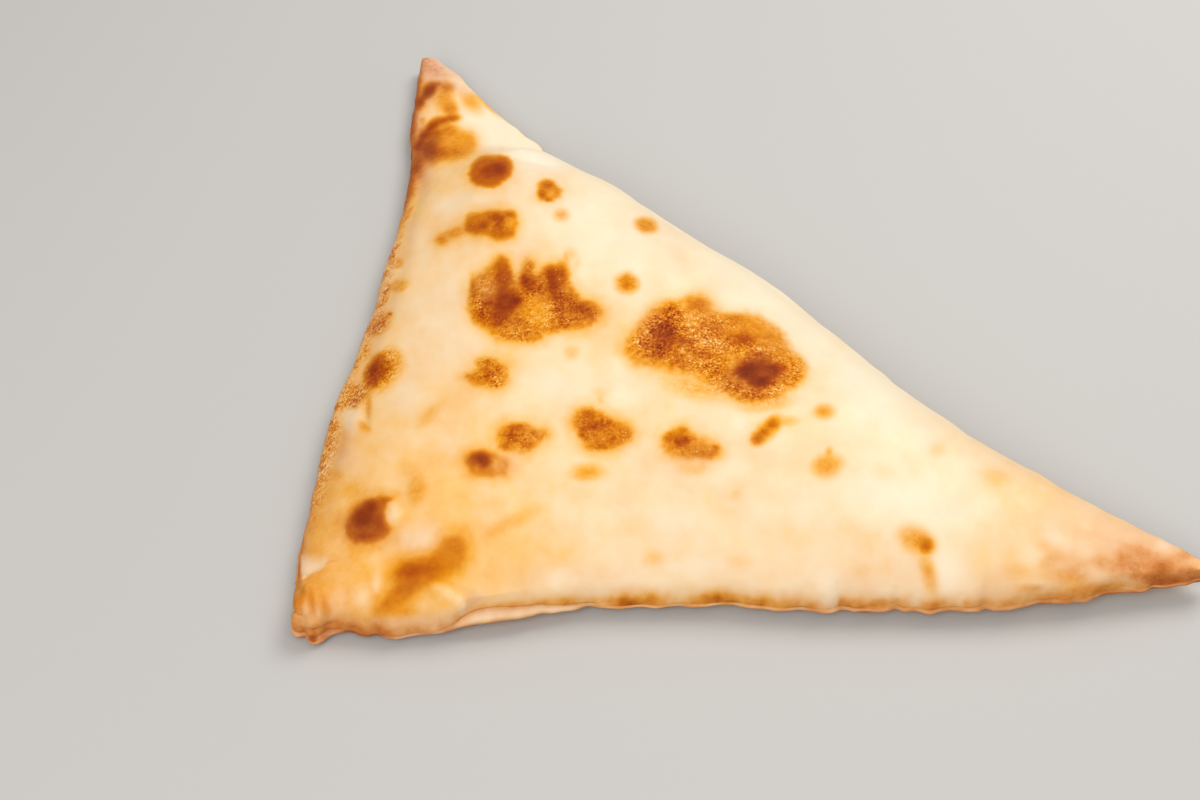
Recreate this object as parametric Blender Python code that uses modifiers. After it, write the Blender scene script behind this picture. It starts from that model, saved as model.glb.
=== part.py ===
"""
Meat-filled khachapuri, one solid piece.

A thin square of dough is folded corner to corner over its filling, pinched shut along the two open
edges and baked until it puffs. It lies flat: +Z is up, the front seam runs along +X, and the origin
is under the middle of the bounding box, on the surface the pastry rests on. Blender units are metres.

The body is a sphere cage whose rings become, from the top pole down: the domed top, the rounded rim,
and the nearly flat underside. Every ring is computed from the sizes below and then subdivided once.
"""

import math

import bmesh
import bpy
import numpy as np

MM = 0.001

# ---- plan outline, millimetres, counter-clockwise: blunt corner, right tip, back tip --------------
BLUNT_CORNER = (-1.5, -3.2)
RIGHT_TIP = (243.2, -5.8)
BACK_TIP = (28.9, 239.9)
# outward bow of each edge from its chord, at even steps between its two corners
FRONT_BOW = (3.2, 1.9, -2.1, -1.0, 2.5, 4.6, 5.6, 3.3)
FOLD_BOW = (-5.0, -8.8, -11.0, -10.2, -7.2, -5.6, -7.4, -7.4, -10.2, -6.4, -3.0)
LEFT_BOW = (-0.8, -3.7, -5.8, -4.9, -4.1, -0.1, 0.6, 0.6)
# how strongly each corner is rounded off, and how far that reaches
SOFTENING = {"blunt": 1.0, "right": 0.45, "back": 0.6}
SOFTENING_REACH = 16.0
SOFTENING_PASSES = 260
OUTLINE_STEP = 0.5
# the pinched knob of dough at the blunt corner
KNOB_CENTRE = (5.6, -0.5)
KNOB_RADIUS = 6.3
KNOB_RISE = 2.4

# ---- rim: radius of its rounded edge, and height of its lowest line above the table ---------------
RIM_RADIUS = {"blunt": 4.3, "front": 3.9, "right": 2.7, "fold": 4.8, "back": 2.9, "left": 3.6}
RIM_LIFT = {"blunt": 0.4, "front": 2.4, "right": 5.0, "fold": 2.4, "back": 1.5, "left": 1.8}
UNDERSIDE_ROLL = 16.0
# over this run the top leaves its own stretch of rim and follows the rim all round
SHOULDER_RUN = 14.0

# ---- dome: height over the rim, and the run over which it rises from each edge --------------------
DOME_HEIGHT = 19.5
DOME_RUN = {"front": 58.0, "fold": 52.0, "left": 58.0}
DOME_POWER = {"front": 2.0, "fold": 2.3, "left": 2.0}
# the filling stops at a crease, beyond which the back tip is a thin flap
CREASE_AT = 0.775
CREASE_SOFT_AT_FOLD = 0.02
CREASE_SOFT_INSIDE = 0.12
FLAP_SHARE = 0.25
# slow swells of the puffed top
SWELL_HEIGHT = 0.7
SWELL_LENGTH = (31.0, 26.0)

# ---- a pinched pleat beside the knob, where the front seam was tucked -----------------------------
PLEAT_START = (39.0, 9.0)
PLEAT_END = (50.0, -2.0)
PLEAT_HEIGHT = 1.5
PLEAT_WIDTH = 3.2

# ---- cage ------------------------------------------------------------------------------------------
SPOKES = 68
TOP_RINGS = 8
RIM_RINGS = 4
UNDER_RINGS = 4
HUB = (84.0, 74.0)
ORIGIN_AT = (118.84, 111.66)
CORNER_CROWDING = 2.2
CROWDING_REACH = 17.0

CRUST = (0.86, 0.62, 0.33, 1.0)
CRUST_ROUGHNESS = 0.62


def smooth(x):
    x = np.clip(x, 0.0, 1.0)
    return x * x * (3.0 - 2.0 * x)


def bow_at(share, offsets):
    """Catmull-Rom curve through offsets at even steps, zero at both corners."""
    knots = np.concatenate([[0.0], offsets, [0.0]])
    spans = len(knots) - 1
    knots = np.concatenate([[2 * knots[0] - knots[1]], knots, [2 * knots[-1] - knots[-2]]])
    x = np.clip(share, 0.0, 1.0) * spans
    i = np.minimum(x.astype(int), spans - 1)
    t = x - i
    a, b, c, d = knots[i], knots[i + 1], knots[i + 2], knots[i + 3]
    return 0.5 * (2 * b + (c - a) * t + (2 * a - 5 * b + 4 * c - d) * t**2 + (3 * b - 3 * c + d - a) * t**3)


CORNERS = {"blunt": np.array(BLUNT_CORNER), "right": np.array(RIGHT_TIP), "back": np.array(BACK_TIP)}
EDGES = {
    "front": ("blunt", "right", FRONT_BOW),
    "fold": ("right", "back", FOLD_BOW),
    "left": ("back", "blunt", LEFT_BOW),
}


def outward(start, end):
    along = end - start
    length = np.linalg.norm(along)
    return along, length, np.array([along[1], -along[0]]) / length


def fine_outline():
    """The closed outline as points about half a millimetre apart."""
    runs = []
    for first, second, offsets in EDGES.values():
        start, end = CORNERS[first], CORNERS[second]
        along, length, out = outward(start, end)
        share = np.arange(int(length / OUTLINE_STEP)) / int(length / OUTLINE_STEP)
        runs.append(start + share[:, None] * along + bow_at(share, offsets)[:, None] * out)
    line = np.concatenate(runs)
    soft = np.full(len(line), 0.08)
    for name, corner in CORNERS.items():
        away = np.linalg.norm(line - corner, axis=1)
        soft = np.maximum(soft, SOFTENING[name] * np.exp(-((away / SOFTENING_REACH) ** 4)))
    for _ in range(SOFTENING_PASSES):
        line = line + 0.5 * soft[:, None] * (np.roll(line, 1, 0) + np.roll(line, -1, 0) - 2 * line)
    # the knob: points near it are pushed out to its circle, with a soft join
    from_knob = line - np.array(KNOB_CENTRE)
    away = np.linalg.norm(from_knob, axis=1)
    pushed = 1.2 * np.log(np.exp(away / 1.2) + np.exp(KNOB_RADIUS / 1.2))
    near = np.exp(-((np.maximum(away - KNOB_RADIUS, 0.0) / 6.0) ** 2))
    return np.array(KNOB_CENTRE) + from_knob / away[:, None] * (away + (pushed - away) * near)[:, None]


def spoke_points(line):
    """SPOKES points round the outline, closer together at the corners, and each one's share of its length."""
    closed = np.vstack([line, line[:1]])
    step = np.linalg.norm(np.diff(closed, axis=0), axis=1)
    weight = np.ones(len(line))
    for corner in CORNERS.values():
        away = np.linalg.norm(line - corner, axis=1)
        weight += CORNER_CROWDING * np.exp(-((away / CROWDING_REACH) ** 2))
    run = np.concatenate([[0.0], np.cumsum(step)])
    crowd = np.concatenate([[0.0], np.cumsum(step * weight)])
    at = np.interp(np.arange(SPOKES) / SPOKES * crowd[-1], crowd, run)
    points = np.stack([np.interp(at, run, closed[:, 0]), np.interp(at, run, closed[:, 1])], 1)
    share = at / run[-1]
    corner_share = {}
    for name, corner in CORNERS.items():
        corner_share[name] = run[np.argmin(np.linalg.norm(line - corner, axis=1))] / run[-1]
    ahead = np.interp((at + 1.0) % run[-1], run, closed[:, 0]), np.interp((at + 1.0) % run[-1], run, closed[:, 1])
    behind = np.interp((at - 1.0) % run[-1], run, closed[:, 0]), np.interp((at - 1.0) % run[-1], run, closed[:, 1])
    tangent = np.stack(ahead, 1) - np.stack(behind, 1)
    tangent /= np.linalg.norm(tangent, axis=1)[:, None]
    return points, share, corner_share, np.stack([tangent[:, 1], -tangent[:, 0]], 1)


def round_the_rim(values, share, corner_share):
    """A rim size that holds its edge value along each edge and changes near the corners."""
    b, r, k = (corner_share[name] for name in ("blunt", "right", "back"))
    if b > 0.5:
        b -= 1.0
    stops = [
        (b, values["blunt"]), ((b + r) / 2, values["front"]),
        (r, values["right"]), ((r + k) / 2, values["fold"]),
        (k, values["back"]), ((k + b + 1) / 2, values["left"]),
        (b + 1.0, values["blunt"]),
    ]
    t = np.where(share < b, share + 1.0, share)
    out = np.zeros(len(t))
    for i in range(6):
        (start, low), (end, high) = stops[i], stops[i + 1]
        here = (t >= start) & (t <= end)
        x = (t[here] - start) / (end - start)
        ease = 1.0 - (1.0 - x) ** 2.5 if i % 2 == 0 else x**2.5
        out[here] = low + (high - low) * ease
    here = (t >= stops[3][0]) & (t <= k)
    x = (t[here] - r) / (k - r)
    drop = smooth((x - CREASE_AT + CREASE_SOFT_AT_FOLD) / (2 * CREASE_SOFT_AT_FOLD))
    out[here] = values["fold"] + (values["back"] - values["fold"]) * drop
    return out


def edge_depths(points):
    """How far inside each edge the points lie, and their share of the way along it."""
    found = {}
    for edge, (first, second, offsets) in EDGES.items():
        along, length, out = outward(CORNERS[first], CORNERS[second])
        rel = points - CORNERS[first]
        share = rel @ along / length**2
        found[edge] = (-(rel @ out) + bow_at(share, offsets), share)
    return found


def dome_height(points):
    depth = edge_depths(points)
    height = np.full(len(points), DOME_HEIGHT)
    for edge, (inside, _) in depth.items():
        height = height * (1.0 - (1.0 - np.clip(inside / DOME_RUN[edge], 0, 1)) ** DOME_POWER[edge])
    inside, share = depth["fold"]
    deep = np.clip(inside / 40.0, 0.0, 1.0)
    soft = CREASE_SOFT_AT_FOLD + (CREASE_SOFT_INSIDE - CREASE_SOFT_AT_FOLD) * deep
    filled = smooth((CREASE_AT + soft / 2 + 0.05 * deep - share) / soft)
    height = height * (FLAP_SHARE + (1.0 - FLAP_SHARE) * filled)
    swell = np.sin(points[:, 0] / SWELL_LENGTH[0] * 2.0 + 0.7) * np.sin(points[:, 1] / SWELL_LENGTH[1] * 2.0 + 0.3)
    return height + SWELL_HEIGHT * swell * np.clip(height / DOME_HEIGHT, 0.0, 1.0)


def pleat_height(points):
    """A short ridge, highest in its middle, with a steeper side towards the seam."""
    start, end = np.array(PLEAT_START), np.array(PLEAT_END)
    along, length, out = outward(start, end)
    rel = points - start
    share = rel @ along / length**2
    across = rel @ out / PLEAT_WIDTH
    return PLEAT_HEIGHT * np.exp(-(across**2)) * smooth(share * 2.0) * smooth((1.0 - share) * 2.0 + 0.2)


def knob_height(points):
    away = np.linalg.norm(points - np.array(KNOB_CENTRE), axis=1)
    return KNOB_RISE * np.exp(-((away / (KNOB_RADIUS * 0.8)) ** 2))


def cage_rings():
    """Every ring of the cage from the top pole to the bottom pole, each of SPOKES points."""
    edge, share, corner_share, out = spoke_points(fine_outline())
    radius = round_the_rim(RIM_RADIUS, share, corner_share)
    lift = round_the_rim(RIM_LIFT, share, corner_share)
    inner = edge - out * radius[:, None]
    hub = np.array(HUB)
    shoulder = lift + 2 * radius

    def top(points):
        """Height of the top: carried by the whole rim, more by the near stretches, under the dome."""
        apart = np.linalg.norm(points[:, None] - inner[None], axis=2) ** 2 + 4.0
        pull = apart**-1.5
        carried = (pull * shoulder).sum(1) / pull.sum(1)
        own = 1.0 - smooth(np.linalg.norm(points - inner, axis=1) / SHOULDER_RUN)
        base = carried * (1.0 - own) + shoulder * own
        return base + dome_height(points) + pleat_height(points) + knob_height(points)

    rings = [np.tile([*hub, float(top(np.tile(hub, (SPOKES, 1)))[0])], (SPOKES, 1))]
    for i in range(1, TOP_RINGS + 1):
        inward = (1.0 - i / TOP_RINGS) ** 1.35
        points = hub + (1.0 - inward) * (inner - hub)
        rings.append(np.column_stack([points, top(points)]))
    for j in range(1, RIM_RINGS):
        turn = math.pi / 2 - math.pi * j / RIM_RINGS
        points = inner + out * (radius * math.cos(turn) * 1.06)[:, None]
        rings.append(np.column_stack([points, lift + radius + radius * math.sin(turn)]))
    for i in range(UNDER_RINGS):
        inward = (i / UNDER_RINGS) ** 1.3
        points = hub + (1.0 - inward) * (inner - hub)
        rolled = 1.0 - smooth(np.linalg.norm(points - inner, axis=1) / UNDERSIDE_ROLL)
        rings.append(np.column_stack([points, lift * rolled]))
    rings.append(np.tile([*hub, 0.0], (SPOKES, 1)))
    return rings


def build():
    for obj in list(bpy.data.objects):
        bpy.data.objects.remove(obj, do_unlink=True)

    parts = bpy.data.collections.new("meat_filled_khachapuri")
    bpy.context.scene.collection.children.link(parts)

    rings = cage_rings()
    bm = bmesh.new()
    bmesh.ops.create_uvsphere(bm, u_segments=SPOKES, v_segments=len(rings) - 1, radius=1.0)
    for vertex in bm.verts:
        ring = round(math.acos(max(-1.0, min(1.0, vertex.co.z))) / math.pi * (len(rings) - 1))
        spoke = round(math.atan2(vertex.co.y, vertex.co.x) / (2 * math.pi) * SPOKES) % SPOKES
        x, y, z = rings[ring][spoke]
        vertex.co = ((x - ORIGIN_AT[0]) * MM, (y - ORIGIN_AT[1]) * MM, z * MM)
    mesh = bpy.data.meshes.new("khachapuri")
    bm.to_mesh(mesh)
    bm.free()

    crust = bpy.data.materials.new("baked_crust")
    crust.use_nodes = True
    shader = crust.node_tree.nodes["Principled BSDF"]
    shader.inputs["Base Color"].default_value = CRUST
    shader.inputs["Roughness"].default_value = CRUST_ROUGHNESS
    shader.inputs["Metallic"].default_value = 0.0
    mesh.materials.append(crust)
    mesh.shade_smooth()

    pastry = bpy.data.objects.new("khachapuri", mesh)
    parts.objects.link(pastry)
    rounded = pastry.modifiers.new("rounded_dough", "SUBSURF")
    rounded.levels = 1
    rounded.render_levels = 1


build()
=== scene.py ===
"""
The looks of a meat-filled khachapuri, a triangular baked pastry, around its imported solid.

Lengths are millimetres in the pastry's plan (x along the front seam, y towards the back tip, z up)
until the mesh is made, which is in metres in the solid's own frame. Marks on the crust are placed in
the picture frame, 1200 x 800, through the same view that the camera has, and then belong to the mesh.
"""

import math

import bpy
import numpy as np
from mathutils import Matrix, Vector
from mathutils.geometry import delaunay_2d_cdt


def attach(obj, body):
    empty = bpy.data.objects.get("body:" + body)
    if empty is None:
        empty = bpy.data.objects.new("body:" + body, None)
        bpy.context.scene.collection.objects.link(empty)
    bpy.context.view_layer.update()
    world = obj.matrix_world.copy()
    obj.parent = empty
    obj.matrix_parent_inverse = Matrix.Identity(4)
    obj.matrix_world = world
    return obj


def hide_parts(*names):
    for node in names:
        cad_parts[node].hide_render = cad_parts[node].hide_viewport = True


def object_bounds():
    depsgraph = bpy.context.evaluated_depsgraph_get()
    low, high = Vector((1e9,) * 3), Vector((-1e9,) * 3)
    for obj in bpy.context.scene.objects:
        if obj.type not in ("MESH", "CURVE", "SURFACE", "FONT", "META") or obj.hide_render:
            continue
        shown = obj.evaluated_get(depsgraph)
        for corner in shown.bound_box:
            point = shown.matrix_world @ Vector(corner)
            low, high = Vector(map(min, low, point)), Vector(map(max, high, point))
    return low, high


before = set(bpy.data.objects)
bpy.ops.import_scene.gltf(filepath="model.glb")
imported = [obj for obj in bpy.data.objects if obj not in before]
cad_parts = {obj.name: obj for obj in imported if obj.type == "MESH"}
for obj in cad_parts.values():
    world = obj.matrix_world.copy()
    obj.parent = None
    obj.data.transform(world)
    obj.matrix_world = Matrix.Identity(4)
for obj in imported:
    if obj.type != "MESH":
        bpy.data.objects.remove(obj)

SOLID_BOX = [list(corner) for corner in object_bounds()]
MM = 0.001

# =============================================================================== sizes of the solid
BLUNT_CORNER = (-1.5, -3.2)
RIGHT_TIP = (243.2, -5.8)
BACK_TIP = (28.9, 239.9)
FRONT_BOW = (3.2, 1.9, -2.1, -1.0, 2.5, 4.6, 5.6, 3.3)
FOLD_BOW = (-5.0, -8.8, -11.0, -10.2, -7.2, -5.6, -7.4, -7.4, -10.2, -6.4, -3.0)
LEFT_BOW = (-0.8, -3.7, -5.8, -4.9, -4.1, -0.1, 0.6, 0.6)
SOFTENING = {"blunt": 1.0, "right": 0.45, "back": 0.6}
SOFTENING_REACH = 16.0
SOFTENING_PASSES = 260
OUTLINE_STEP = 0.5
KNOB_CENTRE = (5.6, -0.5)
KNOB_RADIUS = 6.3
KNOB_RISE = 2.4
RIM_RADIUS = {"blunt": 4.3, "front": 3.9, "right": 2.7, "fold": 4.8, "back": 2.9, "left": 3.6}
RIM_LIFT = {"blunt": 0.4, "front": 2.4, "right": 5.0, "fold": 2.4, "back": 1.5, "left": 1.8}
UNDERSIDE_ROLL = 16.0
SHOULDER_RUN = 14.0
DOME_HEIGHT = 19.5
DOME_RUN = {"front": 58.0, "fold": 52.0, "left": 58.0}
DOME_POWER = {"front": 2.0, "fold": 2.3, "left": 2.0}
CREASE_AT = 0.775
CREASE_SOFT_AT_FOLD = 0.02
CREASE_SOFT_INSIDE = 0.12
FLAP_SHARE = 0.25
SWELL_HEIGHT = 0.7
SWELL_LENGTH = (31.0, 26.0)
ORIGIN_AT = np.array([118.84, 111.66, 0.0])
BACK_TIP_PRESSED = 2.7

# ===================================================================================== mesh density
RIM_POINTS = 1000
UPPER_RINGS = 13
LOWER_RINGS = 8
TOP_SPACING = 0.92
KNOB_SPACING = 0.62
KNOB_REACH = 24.0
UNDER_SPACING = 1.35


# ============================================================================================ helpers
def smooth(x):
    x = np.clip(x, 0.0, 1.0)
    return x * x * (3.0 - 2.0 * x)


def hump(x, centre, width):
    return np.exp(-(((x - centre) / width) ** 2))


_lattice = {}


def noise(x, y, size, seed):
    """Smooth noise of about -1 to 1 whose features are about size across."""
    if seed not in _lattice:
        angle = np.random.RandomState(seed).uniform(0.0, 2.0 * np.pi, (256, 256))
        _lattice[seed] = np.cos(angle), np.sin(angle)
    gx, gy = _lattice[seed]
    u, v = np.asarray(x) / size + 37.7, np.asarray(y) / size + 91.3
    i, j = np.floor(u).astype(int), np.floor(v).astype(int)
    fu, fv = u - i, v - j

    def corner(di, dj):
        a, b = (i + di) % 256, (j + dj) % 256
        return gx[a, b] * (fu - di) + gy[a, b] * (fv - dj)

    su, sv = fu**3 * (fu * (fu * 6 - 15) + 10), fv**3 * (fv * (fv * 6 - 15) + 10)
    low = corner(0, 0) * (1 - su) + corner(1, 0) * su
    high = corner(0, 1) * (1 - su) + corner(1, 1) * su
    return 1.6 * (low * (1 - sv) + high * sv)


# ====================================================================================== the view
VIEW = {
    "focal": 2050.0, "pitch": 46.4091, "roll": 4.0245, "yaw": 1.0618, "bulge": -0.024076,
    "place": np.array([90.466, -325.038, 421.101]),
}
# the same view through a lens without bulge, fitted to the same outline: this is the camera
CAMERA = {
    "focal": 2146.37, "pitch": math.degrees(0.810589), "roll": math.degrees(0.0666571), "yaw": math.degrees(0.0149926),
    "place": np.array([-29.361, -459.513, 445.713]) + ORIGIN_AT,
}


def view_axes(view):
    yaw, pitch, roll = (math.radians(view[k]) for k in ("yaw", "pitch", "roll"))
    right = np.array([math.cos(yaw), math.sin(yaw), 0.0])
    ahead = np.array([-math.sin(yaw) * math.cos(pitch), math.cos(yaw) * math.cos(pitch), -math.sin(pitch)])
    down = np.array([math.sin(yaw) * math.sin(pitch), -math.cos(yaw) * math.sin(pitch), -math.cos(pitch)])
    across = math.cos(roll) * right + math.sin(roll) * down
    below = -math.sin(roll) * right + math.cos(roll) * down
    return across, below, ahead


def seen(points):
    """Where points of the plan, in millimetres, are in the 1200 x 800 picture frame."""
    across, below, ahead = view_axes(VIEW)
    rel = np.asarray(points) - VIEW["place"]
    depth = rel @ ahead
    flat = VIEW["focal"] * np.stack([rel @ across / depth, rel @ below / depth], 1)
    bent = flat.copy()
    for _ in range(4):
        bent = flat / (1.0 - VIEW["bulge"] * (bent**2).sum(1) / 600.0**2)[:, None]
    return bent + [600.0, 400.0]


# ======================================================================================= the outline
CORNERS = {"blunt": np.array(BLUNT_CORNER), "right": np.array(RIGHT_TIP), "back": np.array(BACK_TIP)}
EDGES = {
    "front": ("blunt", "right", FRONT_BOW),
    "fold": ("right", "back", FOLD_BOW),
    "left": ("back", "blunt", LEFT_BOW),
}


def bow_at(share, offsets):
    knots = np.concatenate([[0.0], offsets, [0.0]])
    spans = len(knots) - 1
    knots = np.concatenate([[2 * knots[0] - knots[1]], knots, [2 * knots[-1] - knots[-2]]])
    x = np.clip(share, 0.0, 1.0) * spans
    i = np.minimum(x.astype(int), spans - 1)
    t = x - i
    a, b, c, d = knots[i], knots[i + 1], knots[i + 2], knots[i + 3]
    return 0.5 * (2 * b + (c - a) * t + (2 * a - 5 * b + 4 * c - d) * t**2 + (3 * b - 3 * c + d - a) * t**3)


def outward(start, end):
    along = end - start
    length = np.linalg.norm(along)
    return along, length, np.array([along[1], -along[0]]) / length


def fine_outline():
    runs = []
    for first, second, offsets in EDGES.values():
        start, end = CORNERS[first], CORNERS[second]
        along, length, out = outward(start, end)
        share = np.arange(int(length / OUTLINE_STEP)) / int(length / OUTLINE_STEP)
        runs.append(start + share[:, None] * along + bow_at(share, offsets)[:, None] * out)
    line = np.concatenate(runs)
    soft = np.full(len(line), 0.08)
    for name, corner in CORNERS.items():
        away = np.linalg.norm(line - corner, axis=1)
        soft = np.maximum(soft, SOFTENING[name] * np.exp(-((away / SOFTENING_REACH) ** 4)))
    for _ in range(SOFTENING_PASSES):
        line = line + 0.5 * soft[:, None] * (np.roll(line, 1, 0) + np.roll(line, -1, 0) - 2 * line)
    from_knob = line - np.array(KNOB_CENTRE)
    away = np.linalg.norm(from_knob, axis=1)
    pushed = 1.2 * np.log(np.exp(away / 1.2) + np.exp(KNOB_RADIUS / 1.2))
    near = np.exp(-((np.maximum(away - KNOB_RADIUS, 0.0) / 6.0) ** 2))
    return np.array(KNOB_CENTRE) + from_knob / away[:, None] * (away + (pushed - away) * near)[:, None]


def rim_points(line):
    """RIM_POINTS round the outline, a little closer together at the corners."""
    closed = np.vstack([line, line[:1]])
    step = np.linalg.norm(np.diff(closed, axis=0), axis=1)
    weight = np.ones(len(line))
    for corner in CORNERS.values():
        weight += 0.5 * np.exp(-((np.linalg.norm(line - corner, axis=1) / 22.0) ** 2))
    run = np.concatenate([[0.0], np.cumsum(step)])
    crowd = np.concatenate([[0.0], np.cumsum(step * weight)])
    at = np.interp(np.arange(RIM_POINTS) / RIM_POINTS * crowd[-1], crowd, run)

    def place(a):
        a = np.mod(a, run[-1])
        return np.stack([np.interp(a, run, closed[:, 0]), np.interp(a, run, closed[:, 1])], 1)

    tangent = place(at + 1.0) - place(at - 1.0)
    tangent /= np.linalg.norm(tangent, axis=1)[:, None]
    share = at / run[-1]
    corner_share = {n: run[np.argmin(np.linalg.norm(line - c, axis=1))] / run[-1] for n, c in CORNERS.items()}
    return place(at), at, share, corner_share, np.stack([tangent[:, 1], -tangent[:, 0]], 1)


def round_the_rim(values, share, corner_share):
    b, r, k = (corner_share[name] for name in ("blunt", "right", "back"))
    if b > 0.5:
        b -= 1.0
    stops = [
        (b, values["blunt"]), ((b + r) / 2, values["front"]),
        (r, values["right"]), ((r + k) / 2, values["fold"]),
        (k, values["back"]), ((k + b + 1) / 2, values["left"]),
        (b + 1.0, values["blunt"]),
    ]
    t = np.where(share < b, share + 1.0, share)
    out = np.zeros(len(t))
    for i in range(6):
        (start, low), (end, high) = stops[i], stops[i + 1]
        here = (t >= start) & (t <= end)
        x = (t[here] - start) / (end - start)
        ease = 1.0 - (1.0 - x) ** 2.5 if i % 2 == 0 else x**2.5
        out[here] = low + (high - low) * ease
    here = (t >= stops[3][0]) & (t <= k)
    x = (t[here] - r) / (k - r)
    drop = smooth((x - CREASE_AT + CREASE_SOFT_AT_FOLD) / (2 * CREASE_SOFT_AT_FOLD))
    out[here] = values["fold"] + (values["back"] - values["fold"]) * drop
    return out


def blunted(line):
    """The outline with the last millimetres of the back tip pressed in, as the thin dough there is."""
    near = np.exp(-((np.linalg.norm(line - CORNERS["back"], axis=1) / 14.0) ** 4))
    past = line[:, 1] - (line[:, 1].max() - BACK_TIP_PRESSED)
    return line - np.stack([0 * past, near * 0.9 * np.log1p(np.exp(past / 0.9))], 1)


EDGE, RUN, SHARE, CORNER_SHARE, OUT = rim_points(blunted(fine_outline()))
RADIUS = round_the_rim(RIM_RADIUS, SHARE, CORNER_SHARE)
LIFT = round_the_rim(RIM_LIFT, SHARE, CORNER_SHARE)


def inset_from(radius):
    """How far inside the outline the top sheet's border is: the rim's radius, less where a tip is sharper."""
    ahead = np.roll(OUT, -2, 0)
    behind = np.roll(OUT, 2, 0)
    gap = np.linalg.norm(np.roll(EDGE, -2, 0) - np.roll(EDGE, 2, 0), axis=1)
    turning = np.arcsin(np.clip(behind[:, 0] * ahead[:, 1] - behind[:, 1] * ahead[:, 0], -1, 1)) / gap
    inset = np.minimum(radius, 0.62 / np.maximum(turning, 1e-3))
    for _ in range(7):
        inset = np.minimum(inset, np.minimum(np.roll(inset, 1), np.roll(inset, -1)) + 0.12)
    for _ in range(14):
        inset = np.minimum(inset, 0.5 * inset + 0.25 * (np.roll(inset, 1) + np.roll(inset, -1)))
    return inset


INSET = inset_from(RADIUS)
INNER = EDGE - OUT * INSET[:, None]
SHOULDER = LIFT + RADIUS + np.sqrt(RADIUS**2 - (RADIUS - INSET) ** 2)
EDGE_SEEN = seen(np.column_stack([EDGE, LIFT + RADIUS]))


def along_edge(edge, margin=0.0):
    """1 on the points of one edge, fading to 0 past its corners."""
    first, second, _ = EDGES[edge]
    a, b = CORNER_SHARE[first], CORNER_SHARE[second]
    if first == "blunt" and a > 0.5:
        a -= 1.0
    if b < a:
        b += 1.0
    t = np.where(SHARE < a - 0.1, SHARE + 1.0, SHARE)
    t = np.where(t > b + 0.3, t - 1.0, t)
    soft = 0.008
    return smooth((t - a + margin) / soft + 0.5) * smooth((b + margin - t) / soft + 0.5)


ON_FRONT, ON_FOLD, ON_LEFT = (along_edge(e) for e in ("front", "fold", "left"))
SEAMED = np.clip(1.0 - ON_FOLD, 0.0, 1.0)


def bumps(at, table):
    """A sum of humps: rows of centre, height, half width."""
    return sum(height * hump(at, centre, width) for centre, height, width in table)


def from_table(x, table):
    table = np.array(table)
    return np.interp(x, table[:, 0], table[:, 1])


def edge_noise(size, seed, shift=0.0):
    return noise(EDGE[:, 0] + shift, EDGE[:, 1] - 0.7 * shift, size, seed)


# small scallops of each edge: picture x or y, how far out it bulges (in picture units), half width
FRONT_SCALLOPS = (
    (298, -4.0, 5), (313, 2.6, 8), (343, -4.0, 13), (372, -2.6, 6), (394, 2.6, 13), (437, 0.8, 10), (540, -1.4, 7),
    (588, -3.2, 8), (622, 0.9, 9), (656, 1.8, 9), (682, -0.9, 6), (728, -2.4, 14), (780, 1.0, 12), (803, -1.0, 6),
    (828, 1.8, 9), (849, -2.4, 5), (899, -3.2, 5), (916, -0.7, 5), (933, 3.2, 6), (954, -1.3, 7), (977, 5.4, 5),
    (990, -2.6, 4), (1004, 1.2, 8), (1040, -3.0, 13), (1068, 1.8, 6), (1087, 2.0, 6), (1115, -4.0, 16), (1142, 0.6, 7),
    (1153, -3.0, 5), (1182, 1.6, 7),
)
LEFT_SCALLOPS = (
    (95, -1.0, 12), (128, 1.9, 14), (166, -2.0, 9), (225, 1.8, 6), (245, -0.8, 6), (268, 1.0, 10), (298, -1.0, 5),
    (342, 2.0, 8), (375, -2.7, 13), (398, 0.8, 4), (434, 2.0, 10), (460, 1.5, 8), (486, -0.9, 9), (518, -2.0, 11),
    (549, 1.0, 6), (582, -2.2, 8), (599, 3.0, 6), (611, -2.0, 3.5), (620, 1.4, 6),
)
FOLD_SCALLOPS = (
    (442, 0.6, 5), (459, 4.3, 8), (496, -2.4, 14), (519, 2.0, 5), (536, 7.0, 8), (561, -5.6, 7),
    (612, 3.2, 15), (646, -2.8, 8), (690, 2.2, 17), (729, -1.6, 13), (786, 2.6, 17), (827, -2.6, 9), (866, 1.2, 8),
    (887, 2.0, 5), (901, -1.5, 6), (950, 2.4, 13), (974, -2.2, 9), (994, -1.0, 8), (1040, 3.0, 13), (1062, -1.0, 4),
    (1116, -0.8, 6), (1156, 1.2, 5), (1193, -4.0, 7),
)
SCALLOP = (
    ON_FRONT * bumps(EDGE_SEEN[:, 0], FRONT_SCALLOPS) * 0.36
    + ON_LEFT * bumps(EDGE_SEEN[:, 1], LEFT_SCALLOPS) * 0.30
    + ON_FOLD * bumps(EDGE_SEEN[:, 0], FOLD_SCALLOPS) * 0.26
)
# finer lumps of the pressed edges, and a blunter back tip
SCALLOP += SEAMED * (0.20 * edge_noise(4.3, 3) + 0.10 * edge_noise(2.2, 4)) - 0.15
SCALLOP -= 0.8 * np.exp(-((np.linalg.norm(EDGE - np.array([239.3, -4.6]), axis=1) / 3.0) ** 2))


SCALLOP += 0.75 * ON_LEFT * smooth((EDGE_SEEN[:, 1] - 230) / 60) * smooth((640 - EDGE_SEEN[:, 1]) / 20)
SCALLOP -= 0.9 * ON_FRONT * smooth((EDGE_SEEN[:, 0] - 1010) / 60)
SCALLOP -= 0.5 * ON_FRONT * smooth((EDGE_SEEN[:, 0] - 690) / 60) * smooth((1100 - EDGE_SEEN[:, 0]) / 60)


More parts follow.
